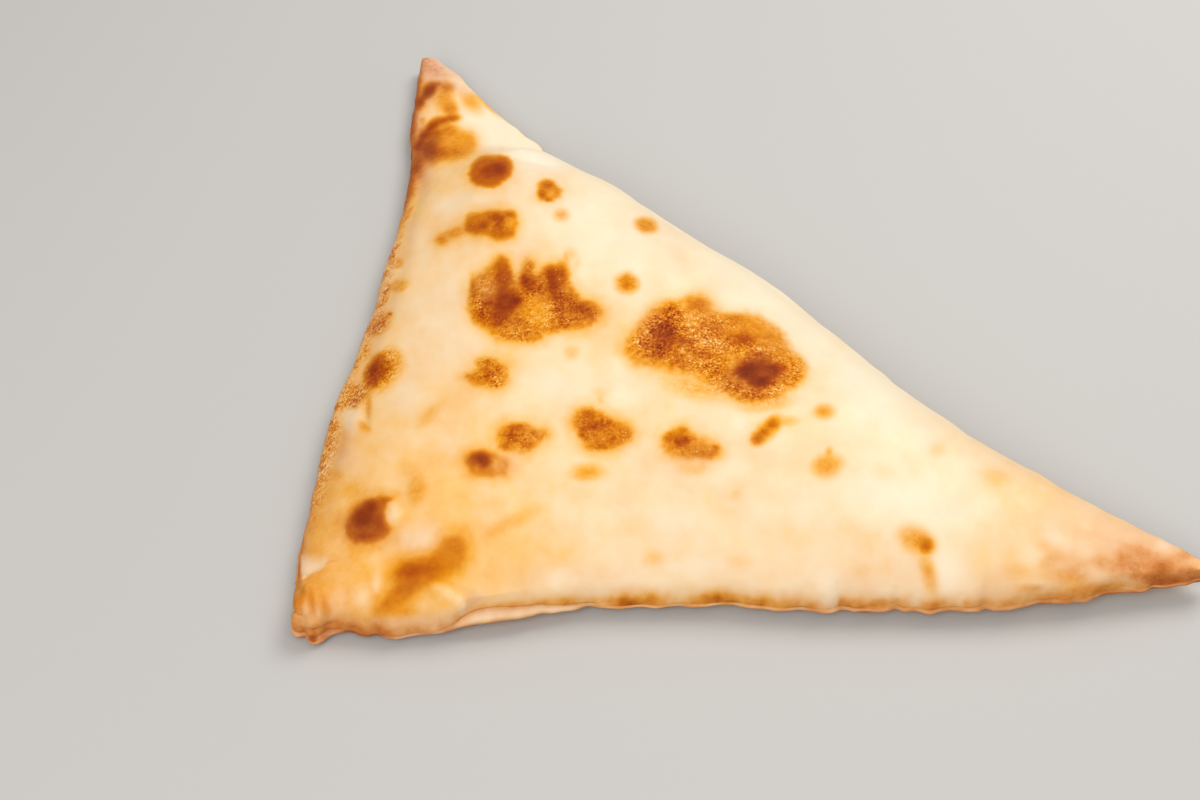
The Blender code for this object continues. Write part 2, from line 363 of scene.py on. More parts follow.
def room_outward():
    """How far each point of the outline can move out before it meets the solid's box."""
    low, high = (np.array(c) / MM + ORIGIN_AT for c in SOLID_BOX)
    room = np.full(len(EDGE), 9.0)
    for k in (0, 1):
        out = OUT[:, k]
        room = np.where(out > 0.05, np.minimum(room, (high[k] - EDGE[:, k]) / np.maximum(out, 0.05)), room)
        room = np.where(out < -0.05, np.minimum(room, (EDGE[:, k] - low[k]) / np.maximum(-out, 0.05)), room)
    return room


SCALLOP = np.minimum(SCALLOP, room_outward() - 0.25)
SCALLOP = 0.5 * SCALLOP + 0.25 * (np.roll(SCALLOP, 1) + np.roll(SCALLOP, -1))

EVEN_SCALLOP = SCALLOP.copy()
for _ in range(60):
    EVEN_SCALLOP = 0.5 * EVEN_SCALLOP + 0.25 * (np.roll(EVEN_SCALLOP, 1) + np.roll(EVEN_SCALLOP, -1))

# how far the top sheet's edge stands back from the lower one, and how high and how deep the seam between
# them is: picture x along the front, y on the left
FRONT_SEAM = (
    # x, stands back, height above the lower edge, depth of the groove, how tall it is
    (286, 0.4, 2.2, 0.4, 0.6), (300, 0.6, 1.9, 0.5, 0.7), (316, 1.1, 1.5, 0.8, 0.9), (328, 0.9, 1.6, 0.6, 0.8), (339, 0.1, 1.5, 0.05, 0.6),
    (370, 0.05, 1.4, 0.0, 0.4), (420, 0.05, 1.6, 0.0, 0.4), (440, 0.1, 1.8, 0.02, 0.4), (452, 0.5, 2.8, 0.15, 0.5), (460, 1.5, 3.8, 0.4, 0.5),
    (466, 2.3, 4.3, 0.6, 0.5), (480, 3.0, 4.5, 0.7, 0.4), (500, 2.8, 4.4, 0.7, 0.4), (530, 2.1, 3.9, 0.6, 0.4), (560, 1.1, 2.9, 0.5, 0.4),
    (585, 0.5, 2.0, 0.3, 0.3), (605, 0.2, 1.4, 0.08, 0.3), (700, 0.2, 1.4, 0.06, 0.3), (760, 0.3, 1.5, 0.1, 0.3),
    (833, 0.2, 1.6, 0.08, 0.3), (842, 0.7, 1.8, 0.4, 0.3), (851, 0.3, 1.8, 0.12, 0.3), (890, 0.3, 1.9, 0.12, 0.3), (975, 0.3, 1.9, 0.1, 0.3),
    (988, 0.7, 1.8, 0.25, 0.3), (1000, 0.3, 1.8, 0.1, 0.3), (1060, 0.3, 1.7, 0.1, 0.3), (1120, 0.2, 1.5, 0.1, 0.3), (1200, 0.2, 1.4, 0.1, 0.3),
)
LEFT_SEAM = (
    (60, 0.2, 1.5, 0.15, 0.4), (120, 0.25, 1.8, 0.2, 0.4), (200, 0.4, 2.1, 0.3, 0.4), (330, 0.4, 2.1, 0.35, 0.4), (375, 0.7, 2.1, 0.5, 0.4), (420, 0.5, 2.1, 0.35, 0.4),
    (535, 0.4, 2.1, 0.3, 0.4), (550, 0.9, 2.2, 0.5, 0.4), (585, 0.9, 2.2, 0.5, 0.4), (592, 0.3, 2.2, 0.3, 0.4), (604, 0.7, 2.2, 0.5, 0.4), (612, 0.3, 2.2, 0.5, 0.4),
    (625, 0.6, 2.2, 0.5, 0.4),
)


def seam_value(column):
    front = from_table(EDGE_SEEN[:, 0], [(row[0], row[column]) for row in FRONT_SEAM])
    left = from_table(EDGE_SEEN[:, 1], [(row[0], row[column]) for row in LEFT_SEAM])
    value = ON_FRONT * front + (1 - ON_FRONT) * left
    for _ in range(2):
        value = 0.5 * value + 0.25 * (np.roll(value, 1) + np.roll(value, -1))
    return value


# the fold has no seam, and in front on the left the two sheets are baked into one rounded edge
ONE_EDGE = ON_FRONT * smooth((EDGE_SEEN[:, 0] - 333) / 8) * smooth((456 - EDGE_SEEN[:, 0]) / 14)
ONE_EDGE = np.maximum(ONE_EDGE, 1.0 - SEAMED)
STEP_BACK = SEAMED * np.clip(seam_value(1) + (1.0 - ONE_EDGE) * 0.12 * edge_noise(3.6, 6), 0.03, 3.4)
GROOVE = SEAMED * np.clip(seam_value(3) * (1.0 + 0.5 * edge_noise(5.0, 8)), 0.0, 1.2)
GROOVE_TALL = SEAMED * np.clip(seam_value(4) * (1.0 + 0.3 * edge_noise(6.0, 9)), 0.2, 2.4)


# ============================================================================================ the top
def edge_depths(points):
    found = {}
    for edge, (first, second, offsets) in EDGES.items():
        along, length, out = outward(CORNERS[first], CORNERS[second])
        rel = points - CORNERS[first]
        share = rel @ along / length**2
        found[edge] = (-(rel @ out) + bow_at(share, offsets), share)
    return found


def dome_height(points):
    depth = edge_depths(points)
    height = np.full(len(points), DOME_HEIGHT)
    for edge, (inside, _) in depth.items():
        height = height * (1.0 - (1.0 - np.clip(inside / DOME_RUN[edge], 0, 1)) ** DOME_POWER[edge])
    inside, share = depth["fold"]
    deep = np.clip(inside / 40.0, 0.0, 1.0)
    soft = CREASE_SOFT_AT_FOLD + (CREASE_SOFT_INSIDE - CREASE_SOFT_AT_FOLD) * deep
    filled = smooth((CREASE_AT + soft / 2 + 0.05 * deep - share) / soft)
    height = height * (FLAP_SHARE + (1.0 - FLAP_SHARE) * filled)
    swell = np.sin(points[:, 0] / SWELL_LENGTH[0] * 2.0 + 0.7) * np.sin(points[:, 1] / SWELL_LENGTH[1] * 2.0 + 0.3)
    return height + SWELL_HEIGHT * swell * np.clip(height / DOME_HEIGHT, 0.0, 1.0)


def nearest_rim(points):
    """For each point its distance to the inner outline and the rim point it is nearest to."""
    far, which = np.zeros(len(points)), np.zeros(len(points), int)
    for i in range(0, len(points), 4000):
        gap = np.linalg.norm(points[i : i + 4000, None] - INNER[None], axis=2)
        which[i : i + 4000] = gap.argmin(1)
        far[i : i + 4000] = gap.min(1)
    return far, which


def plain_top(points, far, which):
    """Height of the top as in the solid, before the crust's own relief."""
    some = slice(None, None, 6)
    carried = np.zeros(len(points))
    for i in range(0, len(points), 8000):
        apart = np.linalg.norm(points[i : i + 8000, None] - INNER[None, some], axis=2) ** 2 + 4.0
        pull = apart**-1.5
        carried[i : i + 8000] = (pull * SHOULDER[some]).sum(1) / pull.sum(1)
    own = 1.0 - smooth(far / SHOULDER_RUN)
    knob = KNOB_RISE * np.exp(-((np.linalg.norm(points - np.array(KNOB_CENTRE), axis=1) / (KNOB_RADIUS * 0.8)) ** 2))
    return carried * (1.0 - own) + SHOULDER[which] * own + dome_height(points) + knob


# ------------------------------------------------------------------------------------------- marks
# Browned patches that have an outline of their own, in the picture frame: the outline, how far its border
# fades, browning just inside it and deeper in, how deep that is, grain 0 to 1, lift of the blister in mm.
PATCHES = (
    # under the back tip
    (((470, 181), (467, 174), (470, 165), (476, 157), (485, 153.5), (499, 153.5), (508, 155), (513.5, 160), (514.5, 168), (511.5, 176),
      (506, 181), (501, 185), (494, 188), (485, 188), (476, 186)), 3.5, 0.40, 0.63, 6.0, 0.06, 0.45),
    (((537, 192), (540, 184), (545, 180), (552, 179), (559, 183), (564, 189), (561, 196), (553, 201), (545, 202), (540, 198)),
     5.0, 0.38, 0.48, 5.0, 0.4, 0.3),
    (((463, 222), (466, 214), (472, 210), (481, 210), (490, 208.5), (500, 208), (510, 209), (516, 213), (519, 220), (518, 228),
      (516, 234), (512, 238), (504, 241), (496, 241), (490, 238), (484, 235), (475, 235.5), (467, 233.5), (461, 230)),
     5.0, 0.38, 0.52, 6.0, 0.35, 0.4),
    (((462, 224), (464, 233), (456, 237), (449, 239), (444, 243), (437, 245), (434, 239), (438, 232), (446, 228), (455, 224)),
     6.0, 0.30, 0.35, 5.0, 0.3, 0.1),
    # the many-lobed one, left of the middle
    (((465, 301), (466, 289), (471, 278), (479, 270), (488, 264.5), (494, 258), (500, 253), (507, 253.5), (510, 259), (512, 265),
      (516, 268), (520, 265), (523, 259), (529, 256.5), (535, 259), (540, 265), (546, 264), (552, 262), (560, 261),
      (567, 263), (570, 270), (573, 279), (577, 288), (584, 296), (591, 299), (600, 301), (605, 308), (603, 317), (597, 323),
      (588, 328), (577, 331), (565, 331), (553, 333), (545, 336), (540, 340), (531, 343), (519, 342), (508, 341), (499, 338),
      (491, 333), (481, 329), (472, 323), (467, 312)), 7.0, 0.37, 0.50, 9.0, 1.0, 0.6),
    # the largest one, right of the middle
    (((623, 344), (626, 335), (633, 327), (640, 318), (648, 309), (657, 303), (667, 299), (677, 298), (687, 294), (697, 291),
      (706, 292), (711, 299), (716, 307), (724, 310), (736, 311), (748, 309), (760, 311), (769, 316), (780, 323), (789, 331),
      (793, 341), (798, 349), (806, 355), (812, 365), (810, 377), (800, 387), (792, 392), (784, 398), (772, 403), (757, 405),
      (744, 402), (733, 397), (722, 393), (712, 388), (704, 382), (693, 377), (680, 376), (666, 371), (650, 369), (637, 366),
      (628, 360), (623, 352)), 9.0, 0.34, 0.45, 15.0, 1.0, 0.6),
    # the row in front
    (((462, 380), (461, 373), (470, 370), (476, 364), (481, 359), (488, 356), (497, 356), (504, 360), (509, 366), (511, 374),
      (509, 382), (503, 387), (494, 391), (485, 389), (477, 387), (470, 383)), 7.5, 0.33, 0.42, 7.0, 0.85, 0.4),
    (((493, 438), (494, 430), (500, 424), (510, 422), (520, 421.5), (529, 424), (538, 427), (547, 428), (551, 433), (549, 438),
      (543, 443), (537, 447), (532, 450), (527, 454), (518, 456), (509, 454), (502, 450), (495, 445)), 9.0, 0.33, 0.44, 9.0, 0.75, 0.4),
    (((461, 463), (464, 455), (471, 450.5), (481, 449.5), (490, 451), (498, 453), (506, 457), (510, 463), (508, 472), (505, 479),
      (498, 478), (490, 480), (482, 478), (473, 478), (465, 474)), 7.5, 0.34, 0.46, 6.0, 0.2, 0.4),
    (((569, 420), (574, 411), (583, 406), (592, 405), (600, 408), (608, 413), (616, 418), (624, 420), (632, 425), (637, 433),
      (634, 441), (627, 446), (620, 450), (612, 452), (603, 453), (594, 454), (587, 452), (582, 446), (576, 438), (571, 430)),
     9.0, 0.37, 0.49, 8.0, 0.7, 0.4),
    (((661, 438), (665, 431), (672, 427), (680, 423), (688, 424.5), (695, 430), (703, 434), (713, 439), (722, 444), (726, 452),
      (721, 460), (711, 463), (702, 462), (692, 462), (683, 461), (674, 459), (665, 455), (661, 446)), 9.5, 0.33, 0.43, 9.0, 0.6, 0.4),
    # above the near corner
    (((391, 497), (380, 495), (368, 497), (358, 502), (350, 510), (343, 518), (340, 527), (344, 540), (353, 547), (370, 547),
      (380, 542), (388, 537), (391, 530), (386, 522), (384.5, 512), (387, 505), (393, 501)), 5.0, 0.42, 0.62, 8.0, 0.05, 0.45),
    (((375, 614), (373, 605), (380, 596), (386, 587), (388, 576), (392, 565), (400, 559), (413, 556), (424, 553), (433, 546),
      (438, 538), (446, 533), (457, 532), (466, 538), (470, 549), (468, 562), (462, 572), (452, 580), (441, 586), (429, 591),
      (418, 597), (411, 604), (402, 611), (388, 616)), 12.0, 0.33, 0.46, 11.0, 0.05, 0.35),
    # the back tip: a streak, and the browned hollow under it
    (((441, 80), (447, 83), (444, 89), (438, 96), (432, 103), (427, 110), (421, 113), (416, 109), (417, 100), (420, 92), (426, 85),
      (433, 81)), 11.0, 0.32, 0.62, 6.0, 0.05, 0.1),
    (((415, 150), (419, 141), (425, 132), (432, 125), (440, 120.5), (450, 117), (458, 116.5), (459, 121), (456, 125), (464, 128),
      (474, 130), (480, 137), (481, 146), (477, 155), (470, 161), (461, 164), (450, 165), (441, 164), (433, 163), (426, 167),
      (421, 175), (416, 184), (409, 190), (404, 184), (407, 170), (410, 160)), 11.0, 0.27, 0.40, 10.0, 0.12, 0.3),
)
# Browned marks in the picture frame: centre x, y, half sizes a, b, turn (degrees, up to the right),
# softness of the border, browning 0 to 1, grain 0 to 1, lift of the blister in mm.
MARKS = (
    # deeper browned places in the patches above: under the back tip
    (493, 170, 17, 10, 12, 0.7, 0.72, 0.05, 0), (501, 168, 9, 9, 0, 0.8, 0.76, 0.05, 0), (547, 184, 9, 6, 0, 0.7, 0.56, 0.2, 0),
    (541.5, 192, 5, 7, 0, 0.7, 0.57, 0.2, 0), (549, 198, 5, 3, 0, 0.7, 0.54, 0.2, 0), (561, 213, 9, 7, 0, 0.8, 0.31, 0.2, 0.1),
    (647, 224, 12, 8, -12, 0.6, 0.42, 0.3, 0.2),  (497, 217, 13, 8, -10, 0.8, 0.67, 0.3, 0), (498, 225, 8, 6, 0, 0.8, 0.62, 0.3, 0),
    (482, 224, 10, 6.5, 40, 0.8, 0.64, 0.2, 0), (471, 226, 8, 6, 0, 0.8, 0.52, 0.2, 0), (510, 214, 7, 5, -20, 0.8, 0.60, 0.2, 0),
    (501, 233, 11, 5, 0, 0.8, 0.52, 0.2, 0), (441, 239, 8, 6, 0, 0.8, 0.42, 0.2, 0), (456, 232, 14, 6.5, 28, 0.8, 0.36, 0.2, 0),
    # left of the middle
    (500, 264, 10, 9, 60, 0.8, 0.56, 0.2, 0), (502, 279, 12, 21, 6, 0.8, 0.67, 0.3, 0), (505, 301, 20, 15, 22, 0.7, 0.80, 0.3, 0),
    (517, 299, 9, 6, 10, 0.8, 0.80, 0.2, 0), (499, 317, 16, 13, 35, 0.8, 0.71, 0.5, 0), (483, 313, 12, 14, 30, 0.8, 0.60, 0.8, 0), (486, 300, 12, 12, 0, 0.8, 0.60, 0.6, 0),
    (473, 290, 4, 14, 5, 0.8, 0.56, 0.4, 0), (529, 283, 10, 13, 10, 0.7, 0.72, 0.8, 0), (524, 279, 5, 9, 0, 0.8, 0.74, 0.5, 0), (540, 287, 10, 10, 0, 0.8, 0.58, 0.8, 0),
    (551, 272, 9, 9, 0, 0.8, 0.72, 0.3, 0), (553, 284, 9, 11, 0, 0.7, 0.78, 0.7, 0), (562, 272, 7, 12, 0, 0.8, 0.60, 0.3, 0),
    (557, 296, 12, 10, -30, 0.8, 0.71, 1.0, 0), (558, 308, 10, 10, -20, 0.8, 0.68, 0.9, 0), (576, 306, 14, 8, -25, 0.8, 0.68, 0.9, 0), (588, 311, 10, 7, -20, 0.8, 0.68, 0.9, 0),
    (562, 322, 22, 8, 10, 0.8, 0.52, 0.9, 0), (517, 334, 22, 7, 0, 0.8, 0.52, 1.0, 0), (518, 322, 12, 8, 0, 0.8, 0.56, 1.0, 0), (588, 304, 12, 6, -10, 0.8, 0.50, 0.2, 0),
    (571, 252, 8, 8, 0, 0.8, 0.19, 0.2, 0.1), (566, 256, 3, 7, 10, 0.8, 0.26, 0.2, 0), (577, 262, 3, 9, -20, 0.8, 0.17, 0.2, 0),
    # right of the middle
    (667, 330, 25, 24, 30, 0.8, 0.66, 1.0, 0), (666, 333, 17, 15, 30, 0.8, 0.72, 0.9, 0), (660, 348, 17, 13, 10, 0.8, 0.68, 0.9, 0),
    (673, 309, 12, 9, -20, 0.8, 0.62, 0.9, 0), (646, 345, 9, 12, 0, 0.8, 0.53, 0.9, 0), (688, 343, 14, 9, -10, 0.8, 0.60, 1.0, 0),
    (680, 360, 18, 9, -8, 0.8, 0.54, 1.0, 0), (706, 352, 20, 9, -10, 0.8, 0.54, 1.0, 0), (716, 325, 14, 11, -30, 0.8, 0.50, 0.9, 0),
    (737, 340, 17, 11, -15, 0.8, 0.56, 0.6, 0), (748, 339, 13, 10, -20, 0.8, 0.68, 0.4, 0), (735, 318, 17, 7, 0, 0.8, 0.50, 0.4, 0),
    (698, 303, 16, 9, -5, 0.8, 0.46, 0.3, 0), (775, 338, 14, 10, -35, 0.8, 0.32, 0.3, 0), (720, 370, 18, 9, -12, 0.8, 0.52, 1.0, 0),
    (759, 371, 27, 15, -2, 0.5, 0.76, 0.15, -0.15), (749, 369, 14, 11, 0, 0.8, 0.81, 0.1, 0), (762, 382, 17, 9, 0, 0.8, 0.80, 0.4, 0), (779, 368, 12, 9, 0, 0.7, 0.76, 0.1, 0),
    (765, 357, 20, 8, -5, 0.8, 0.60, 0.4, 0), (757, 395, 22, 7, 3, 0.8, 0.58, 0.9, 0), (792, 379, 12, 9, 0, 0.8, 0.42, 0.8, 0), (797, 362, 10, 8, -30, 0.8, 0.30, 0.5, 0),
    (735, 385, 16, 10, -20, 0.8, 0.54, 1.0, 0), (700, 387, 40, 14, -12, 1.0, 0.27, 0.9, 0), (768, 403, 30, 9, 5, 1.0, 0.25, 0.6, 0),
    # left side
    (374, 371, 20, 10.5, 66, 0.5, 0.72, 0.6, 0.3), (373, 369, 12, 5.5, 66, 0.7, 0.77, 0.2, 0), (381, 372, 17, 8, 60, 0.8, 0.60, 1.0, 0), (391, 361, 13, 15, 20, 0.8, 0.38, 1.0, 0.3),
    (380, 374, 24, 15, 60, 0.8, 0.34, 1.0, 0.2), (355, 394, 15, 12, 20, 0.7, 0.41, 1.05, 0.2), (350, 401, 9, 8, 0, 0.7, 0.38, 1.05, 0),
    (367, 402, 3.5, 20, 0, 0.8, 0.34, 0.4, 0), (362, 427, 5, 9, 50, 0.7, 0.34, 0.2, 0),
    (395.5, 263, 9, 6, 20, 0.7, 0.34, 0.5, 0), (398, 285, 11, 7, 10, 0.7, 0.34, 0.5, 0), (378, 324, 18, 8, 48, 0.8, 0.48, 1.1, 0.2),
    (389, 314, 2.8, 2.8, 0, 0.5, 0.62, 0, 0), (366, 352, 5, 12, -15, 0.8, 0.32, 0.6, 0),
    (332, 427, 3.5, 7, -15, 0.7, 0.46, 0.2, 0), (328, 446, 5, 8, -10, 0.7, 0.34, 0.4, 0), (321, 462, 4, 8, -12, 0.7, 0.36, 0.4, 0),
    (335, 476, 7, 8, 0, 0.8, 0.26, 0.2, 0),
    # above the near corner
    (361, 519, 15, 15, 50, 0.7, 0.78, 0.05, 0), (369, 508, 9, 9, 0, 0.8, 0.80, 0.05, 0), (375, 525, 8, 12, 0, 0.8, 0.60, 0.05, 0), (362, 536, 14, 6, 0, 0.8, 0.60, 0.1, 0),
    (350, 490, 16, 10, 20, 1.0, 0.25, 0.1, 0), (334, 517, 8, 18, -8, 1.0, 0.22, 0.1, 0), (415, 491, 10, 19, -8, 0.9, 0.31, 0.1, 0.15),
    (404, 470, 12, 9, -50, 0.9, 0.20, 0.1, 0.1), (429, 414, 21, 8, 45, 0.9, 0.25, 0.2, 0.1),
    (409, 573, 19, 12, 12, 0.9, 0.64, 0.05, 0), (427, 571, 20, 13, 10, 0.9, 0.56, 0.05, 0), (453, 551, 11, 13, -20, 0.9, 0.42, 0.05, 0),
    (406, 588, 20, 9, 20, 0.9, 0.50, 0.05, 0), (386, 608, 18, 11, 30, 1.0, 0.38, 0.05, 0), (400, 613, 30, 7, 0, 1.0, 0.34, 0.05, 0),
    (440, 606, 24, 8, 5, 1.0, 0.20, 0.05, 0), (396, 602, 26, 15, 20, 1.0, 0.36, 0.05, 0),
    # folds of the pinched corner
    (299, 598, 4, 11, -18, 0.9, 0.38, 0.05, 0), (310, 601, 3.5, 13, 12, 0.9, 0.38, 0.05, 0), (323, 608, 3.5, 13, 18, 0.9, 0.37, 0.05, 0), (293, 603, 3, 8, 0, 0.9, 0.40, 0.05, 0),
    (296, 572, 3, 14, -6, 0.9, 0.46, 0.05, 0), (300, 545, 4, 12, -10, 0.9, 0.40, 0.05, 0),
    # the row in front
    (486, 375, 9, 11, 0, 0.8, 0.63, 0.7, 0), (494, 371, 9, 9, 0, 0.8, 0.50, 1.0, 0), (494, 383, 10, 5, 0, 0.8, 0.52, 1.0, 0), (475, 379, 9, 7, 0, 0.8, 0.44, 0.1, 0),
    (458, 376, 9, 6, 0, 0.9, 0.22, 0.1, 0), (486, 362, 10, 6, 0, 0.8, 0.50, 1.0, 0), (511, 436, 9, 12, 0, 0.8, 0.64, 0.6, 0), (517, 427, 13, 5, 0, 0.8, 0.58, 0.5, 0),
    (531, 434, 9, 6, 0, 0.8, 0.48, 0.6, 0), (505, 446, 8, 7, 0, 0.8, 0.54, 0.5, 0), (524, 445, 12, 8, 0, 0.8, 0.46, 0.6, 0),
    (478, 456.5, 13, 6.5, 0, 0.8, 0.66, 0.05, 0), (481.5, 461, 10, 9.5, 0, 0.8, 0.76, 0.05, 0), (472, 461, 8, 8, 0, 0.8, 0.60, 0.05, 0), (482, 474, 16, 5, 0, 0.9, 0.42, 0.1, 0),
    (588, 416, 9, 9, 0, 0.8, 0.60, 0.7, 0), (601, 424, 14, 8, -10, 0.8, 0.57, 0.8, 0), (591, 427, 12, 7, 0, 0.8, 0.60, 0.8, 0), (583, 434, 6, 5, 0, 0.8, 0.56, 0.7, 0),
    (613, 439, 11, 8, 0, 0.8, 0.54, 0.5, 0), (600, 447, 15, 5, 5, 0.8, 0.48, 0.6, 0), (600, 394, 9, 9, 0, 0.9, 0.17, 0.1, 0), (600, 400, 3, 5, 0, 0.9, 0.24, 0.1, 0),
    (682, 441, 14, 9, -12, 0.8, 0.71, 0.5, 0), (671, 437, 8, 6, 20, 0.8, 0.60, 0.5, 0), (684, 430, 7, 4, 0, 0.8, 0.53, 0.5, 0), (700, 453, 22, 7, -8, 0.8, 0.44, 0.3, 0),
    (717, 448, 6, 4, 0, 0.8, 0.52, 0.3, 0), (696, 470, 26, 7, 0, 1.0, 0.20, 0.2, 0), (704, 465, 6, 5, 0, 1.0, 0.24, 0.2, 0),
    (769, 430, 18, 9.5, 42, 0.8, 0.42, 0.2, 0.2), (760, 438, 8, 7, 30, 0.8, 0.56, 0.3, 0), (775, 424, 9, 7, 20, 0.8, 0.60, 0.3, 0), (767, 431, 9, 6, 35, 0.8, 0.52, 0.3, 0),
    (790, 421, 13, 6, 5, 1.0, 0.26, 0.2, 0), (826, 411, 10, 7.5, 0, 1.0, 0.39, 0.1, 0.1), (830, 466, 16, 13, 18, 0.8, 0.34, 0.2, 0.1), (832, 452, 4, 6, 0, 0.8, 0.30, 0.1, 0),
    (587, 473, 18, 9, 0, 1.0, 0.35, 0.2, 0.1), (571.5, 352, 9, 8, 0, 0.8, 0.22, 0.2, 0.1), (627, 281.5, 12, 11, -20, 0.6, 0.45, 0.4, 0.3),
    (627, 283, 6, 5, 0, 0.8, 0.53, 0.3, 0), (514, 521, 32, 10, 24, 1.0, 0.26, 0.1, 0.1), (490, 533, 14, 8, 30, 1.0, 0.20, 0.1, 0),
    (737, 496, 8, 7, 0, 1.0, 0.19, 0.1, 0), (653.7, 560, 12, 10, 0, 1.0, 0.20, 0.1, 0), (742, 565, 15, 9, 0, 1.0, 0.16, 0.1, 0),
    # right side
    (919, 540, 19, 15, -25, 0.8, 0.34, 0.3, 0.3), (926, 544, 13, 10, -30, 0.8, 0.42, 0.3, 0), (928.5, 547, 9, 8, -20, 0.8, 0.56, 0.3, 0), (931, 573, 24, 8, -78, 0.9, 0.30, 0.2, 0.1),
    (888, 472, 13, 11, 0, 1.0, 0.17, 0.1, 0), (998, 477, 15, 12, 0, 1.0, 0.20, 0.1, 0), (941, 449, 10, 9, 0, 1.0, 0.16, 0.1, 0),
    (1044, 545.6, 10, 9, 0, 1.0, 0.18, 0.1, 0), (863, 573, 12, 9, 0, 1.0, 0.15, 0.1, 0), (1033, 588, 14, 6, 0, 1.0, 0.30, 0.1, 0),
    (1074, 576, 30, 12, 5, 1.0, 0.27, 0.2, 0), (1100, 562, 12, 10, 0, 1.0, 0.28, 0.2, 0),
    (1124, 556, 12, 12, 0, 1.0, 0.36, 0.2, 0), (1132, 566, 28, 11, -4, 1.0, 0.35, 0.3, 0.1), (1159, 567, 13, 11, -20, 1.0, 0.54, 0.2, 0),
    (1160, 577, 32, 7, -4, 1.0, 0.54, 0.2, 0), (1182, 571, 19, 9, -12, 1.0, 0.40, 0.2, 0), (1143, 555, 24, 12, -20, 1.0, 0.31, 0.2, 0), (1178, 555, 20, 8, 25, 1.0, 0.30, 0.2, 0),
    (1085, 588, 40, 7, 6, 1.0, 0.32, 0.2, 0), (1020, 570, 16, 10, 0, 1.0, 0.20, 0.2, 0), (1050, 560, 14, 8, 20, 1.0, 0.22, 0.2, 0),
    # the back tip
    (431, 92, 10, 7, 45, 0.8, 0.74, 0.05, 0.1), (421, 105, 6, 9, -20, 0.8, 0.66, 0.05, 0), (448, 89, 9, 7, 0, 0.9, 0.48, 0.1, 0), (445, 101, 11, 14, 10, 0.9, 0.40, 0.1, 0),
    (451, 110, 8, 11, 0, 0.9, 0.46, 0.1, 0), (472, 103, 13, 9, -40, 0.9, 0.32, 0.1, 0), (490, 106, 18, 4, -40, 0.9, 0.30, 0.1, 0), (462, 93, 10, 8, -40, 1.0, 0.20, 0.1, 0),
    (420, 146, 6, 11, -28, 0.9, 0.72, 0.1, 0), (426, 136, 6, 11, -40, 0.9, 0.75, 0.1, 0), (434, 127, 11, 6, 38, 0.9, 0.76, 0.1, 0), (444, 121.5, 10, 5, 20, 0.9, 0.68, 0.1, 0), (453, 119, 8, 4, 8, 0.9, 0.60, 0.1, 0), (430, 149, 13, 15, 0, 0.9, 0.73, 0.1, 0), (436, 135, 10, 9, 30, 0.9, 0.60, 0.1, 0),
    (443, 153, 11, 8, 0, 0.9, 0.60, 0.2, 0), (456, 152, 9, 6, 0, 0.9, 0.50, 0.2, 0), (450, 131, 10, 7, 0, 0.9, 0.46, 0.2, 0), (418, 163, 9, 18, -12, 0.8, 0.62, 0.2, 0),
    (410, 186, 28, 6, 76, 0.8, 0.56, 0.3, 0), (403, 214, 20, 5, 76, 0.8, 0.36, 0.4, 0), (414, 124, 6, 26, -2, 0.9, 0.60, 0.1, 0), (434, 70, 25, 14, -20, 1.0, 0.36, 0.1, 0), (418, 96, 6, 32, -10, 0.9, 0.52, 0.1, 0), (424, 62, 12, 9, 0, 1.0, 0.37, 0.1, 0),
)
# places inside browned marks that are less grainy: x, y, a, b, turn, softness, share taken off
SMOOTHER = (
    (757, 370, 26, 16, -2, 0.6, 0.65), (768, 330, 34, 12, -38, 0.8, 0.75), (698, 302, 18, 9, -5, 0.8, 0.6), (640, 362, 22, 8, -10, 0.8, 0.5),
    (738, 334, 20, 9, -20, 0.8, 0.4), (504, 290, 16, 34, 10, 0.8, 0.65), (554, 280, 12, 16, 0, 0.8, 0.5), (537, 311, 14, 14, 20, 0.8, 0.25), (575, 306, 18, 10, -25, 0.8, 0.35), (527, 276, 8, 12, 0, 0.8, 0.5),
    (538, 300, 10, 8, 0, 0.8, 0.3), (496, 262, 10, 8, 0, 0.8, 0.5),
)
# lighter places inside browned marks: x, y, a, b, turn, softness, share taken off
LIGHTER = (
    (515.3, 268, 3.4, 12, 0, 0.7, 0.5),     (536.5, 269, 3.6, 5, 0, 0.6, 0.5), (484, 286, 8, 12, -15, 0.8, 0.22), (537, 311, 14, 15, 20, 0.8, 0.26),
    (512, 329, 10, 8, 0, 0.8, 0.16), (541, 321, 10, 10, 0, 0.8, 0.12), (691, 319, 8, 9, -20, 0.8, 0.24), (704, 344, 8, 4, 0, 0.8, 0.2), (684, 306, 5, 4, 0, 0.7, 0.20), (552, 192, 4, 4, 0, 0.7, 0.2),
    (509.5, 221, 5, 5, 0, 0.7, 0.3), (493.5, 221, 2.5, 2, 0, 0.6, 0.2), (498, 466, 7, 8, 0, 0.8, 0.30), (673, 441, 3, 3, 0, 0.8, 0.2),
    # painted highlight: (391, 513) lightens the lit side of the blister beside the dark spot
    (391, 513, 6, 9, -10, 0.8, 0.6), (426, 606, 18, 8, 10, 0.9, 0.35), (426, 116, 6, 14, -30, 0.8, 0.35), (497, 381, 10, 7, 0, 0.8, 0.14), (515, 446, 5, 4, 0, 0.8, 0.14),
)
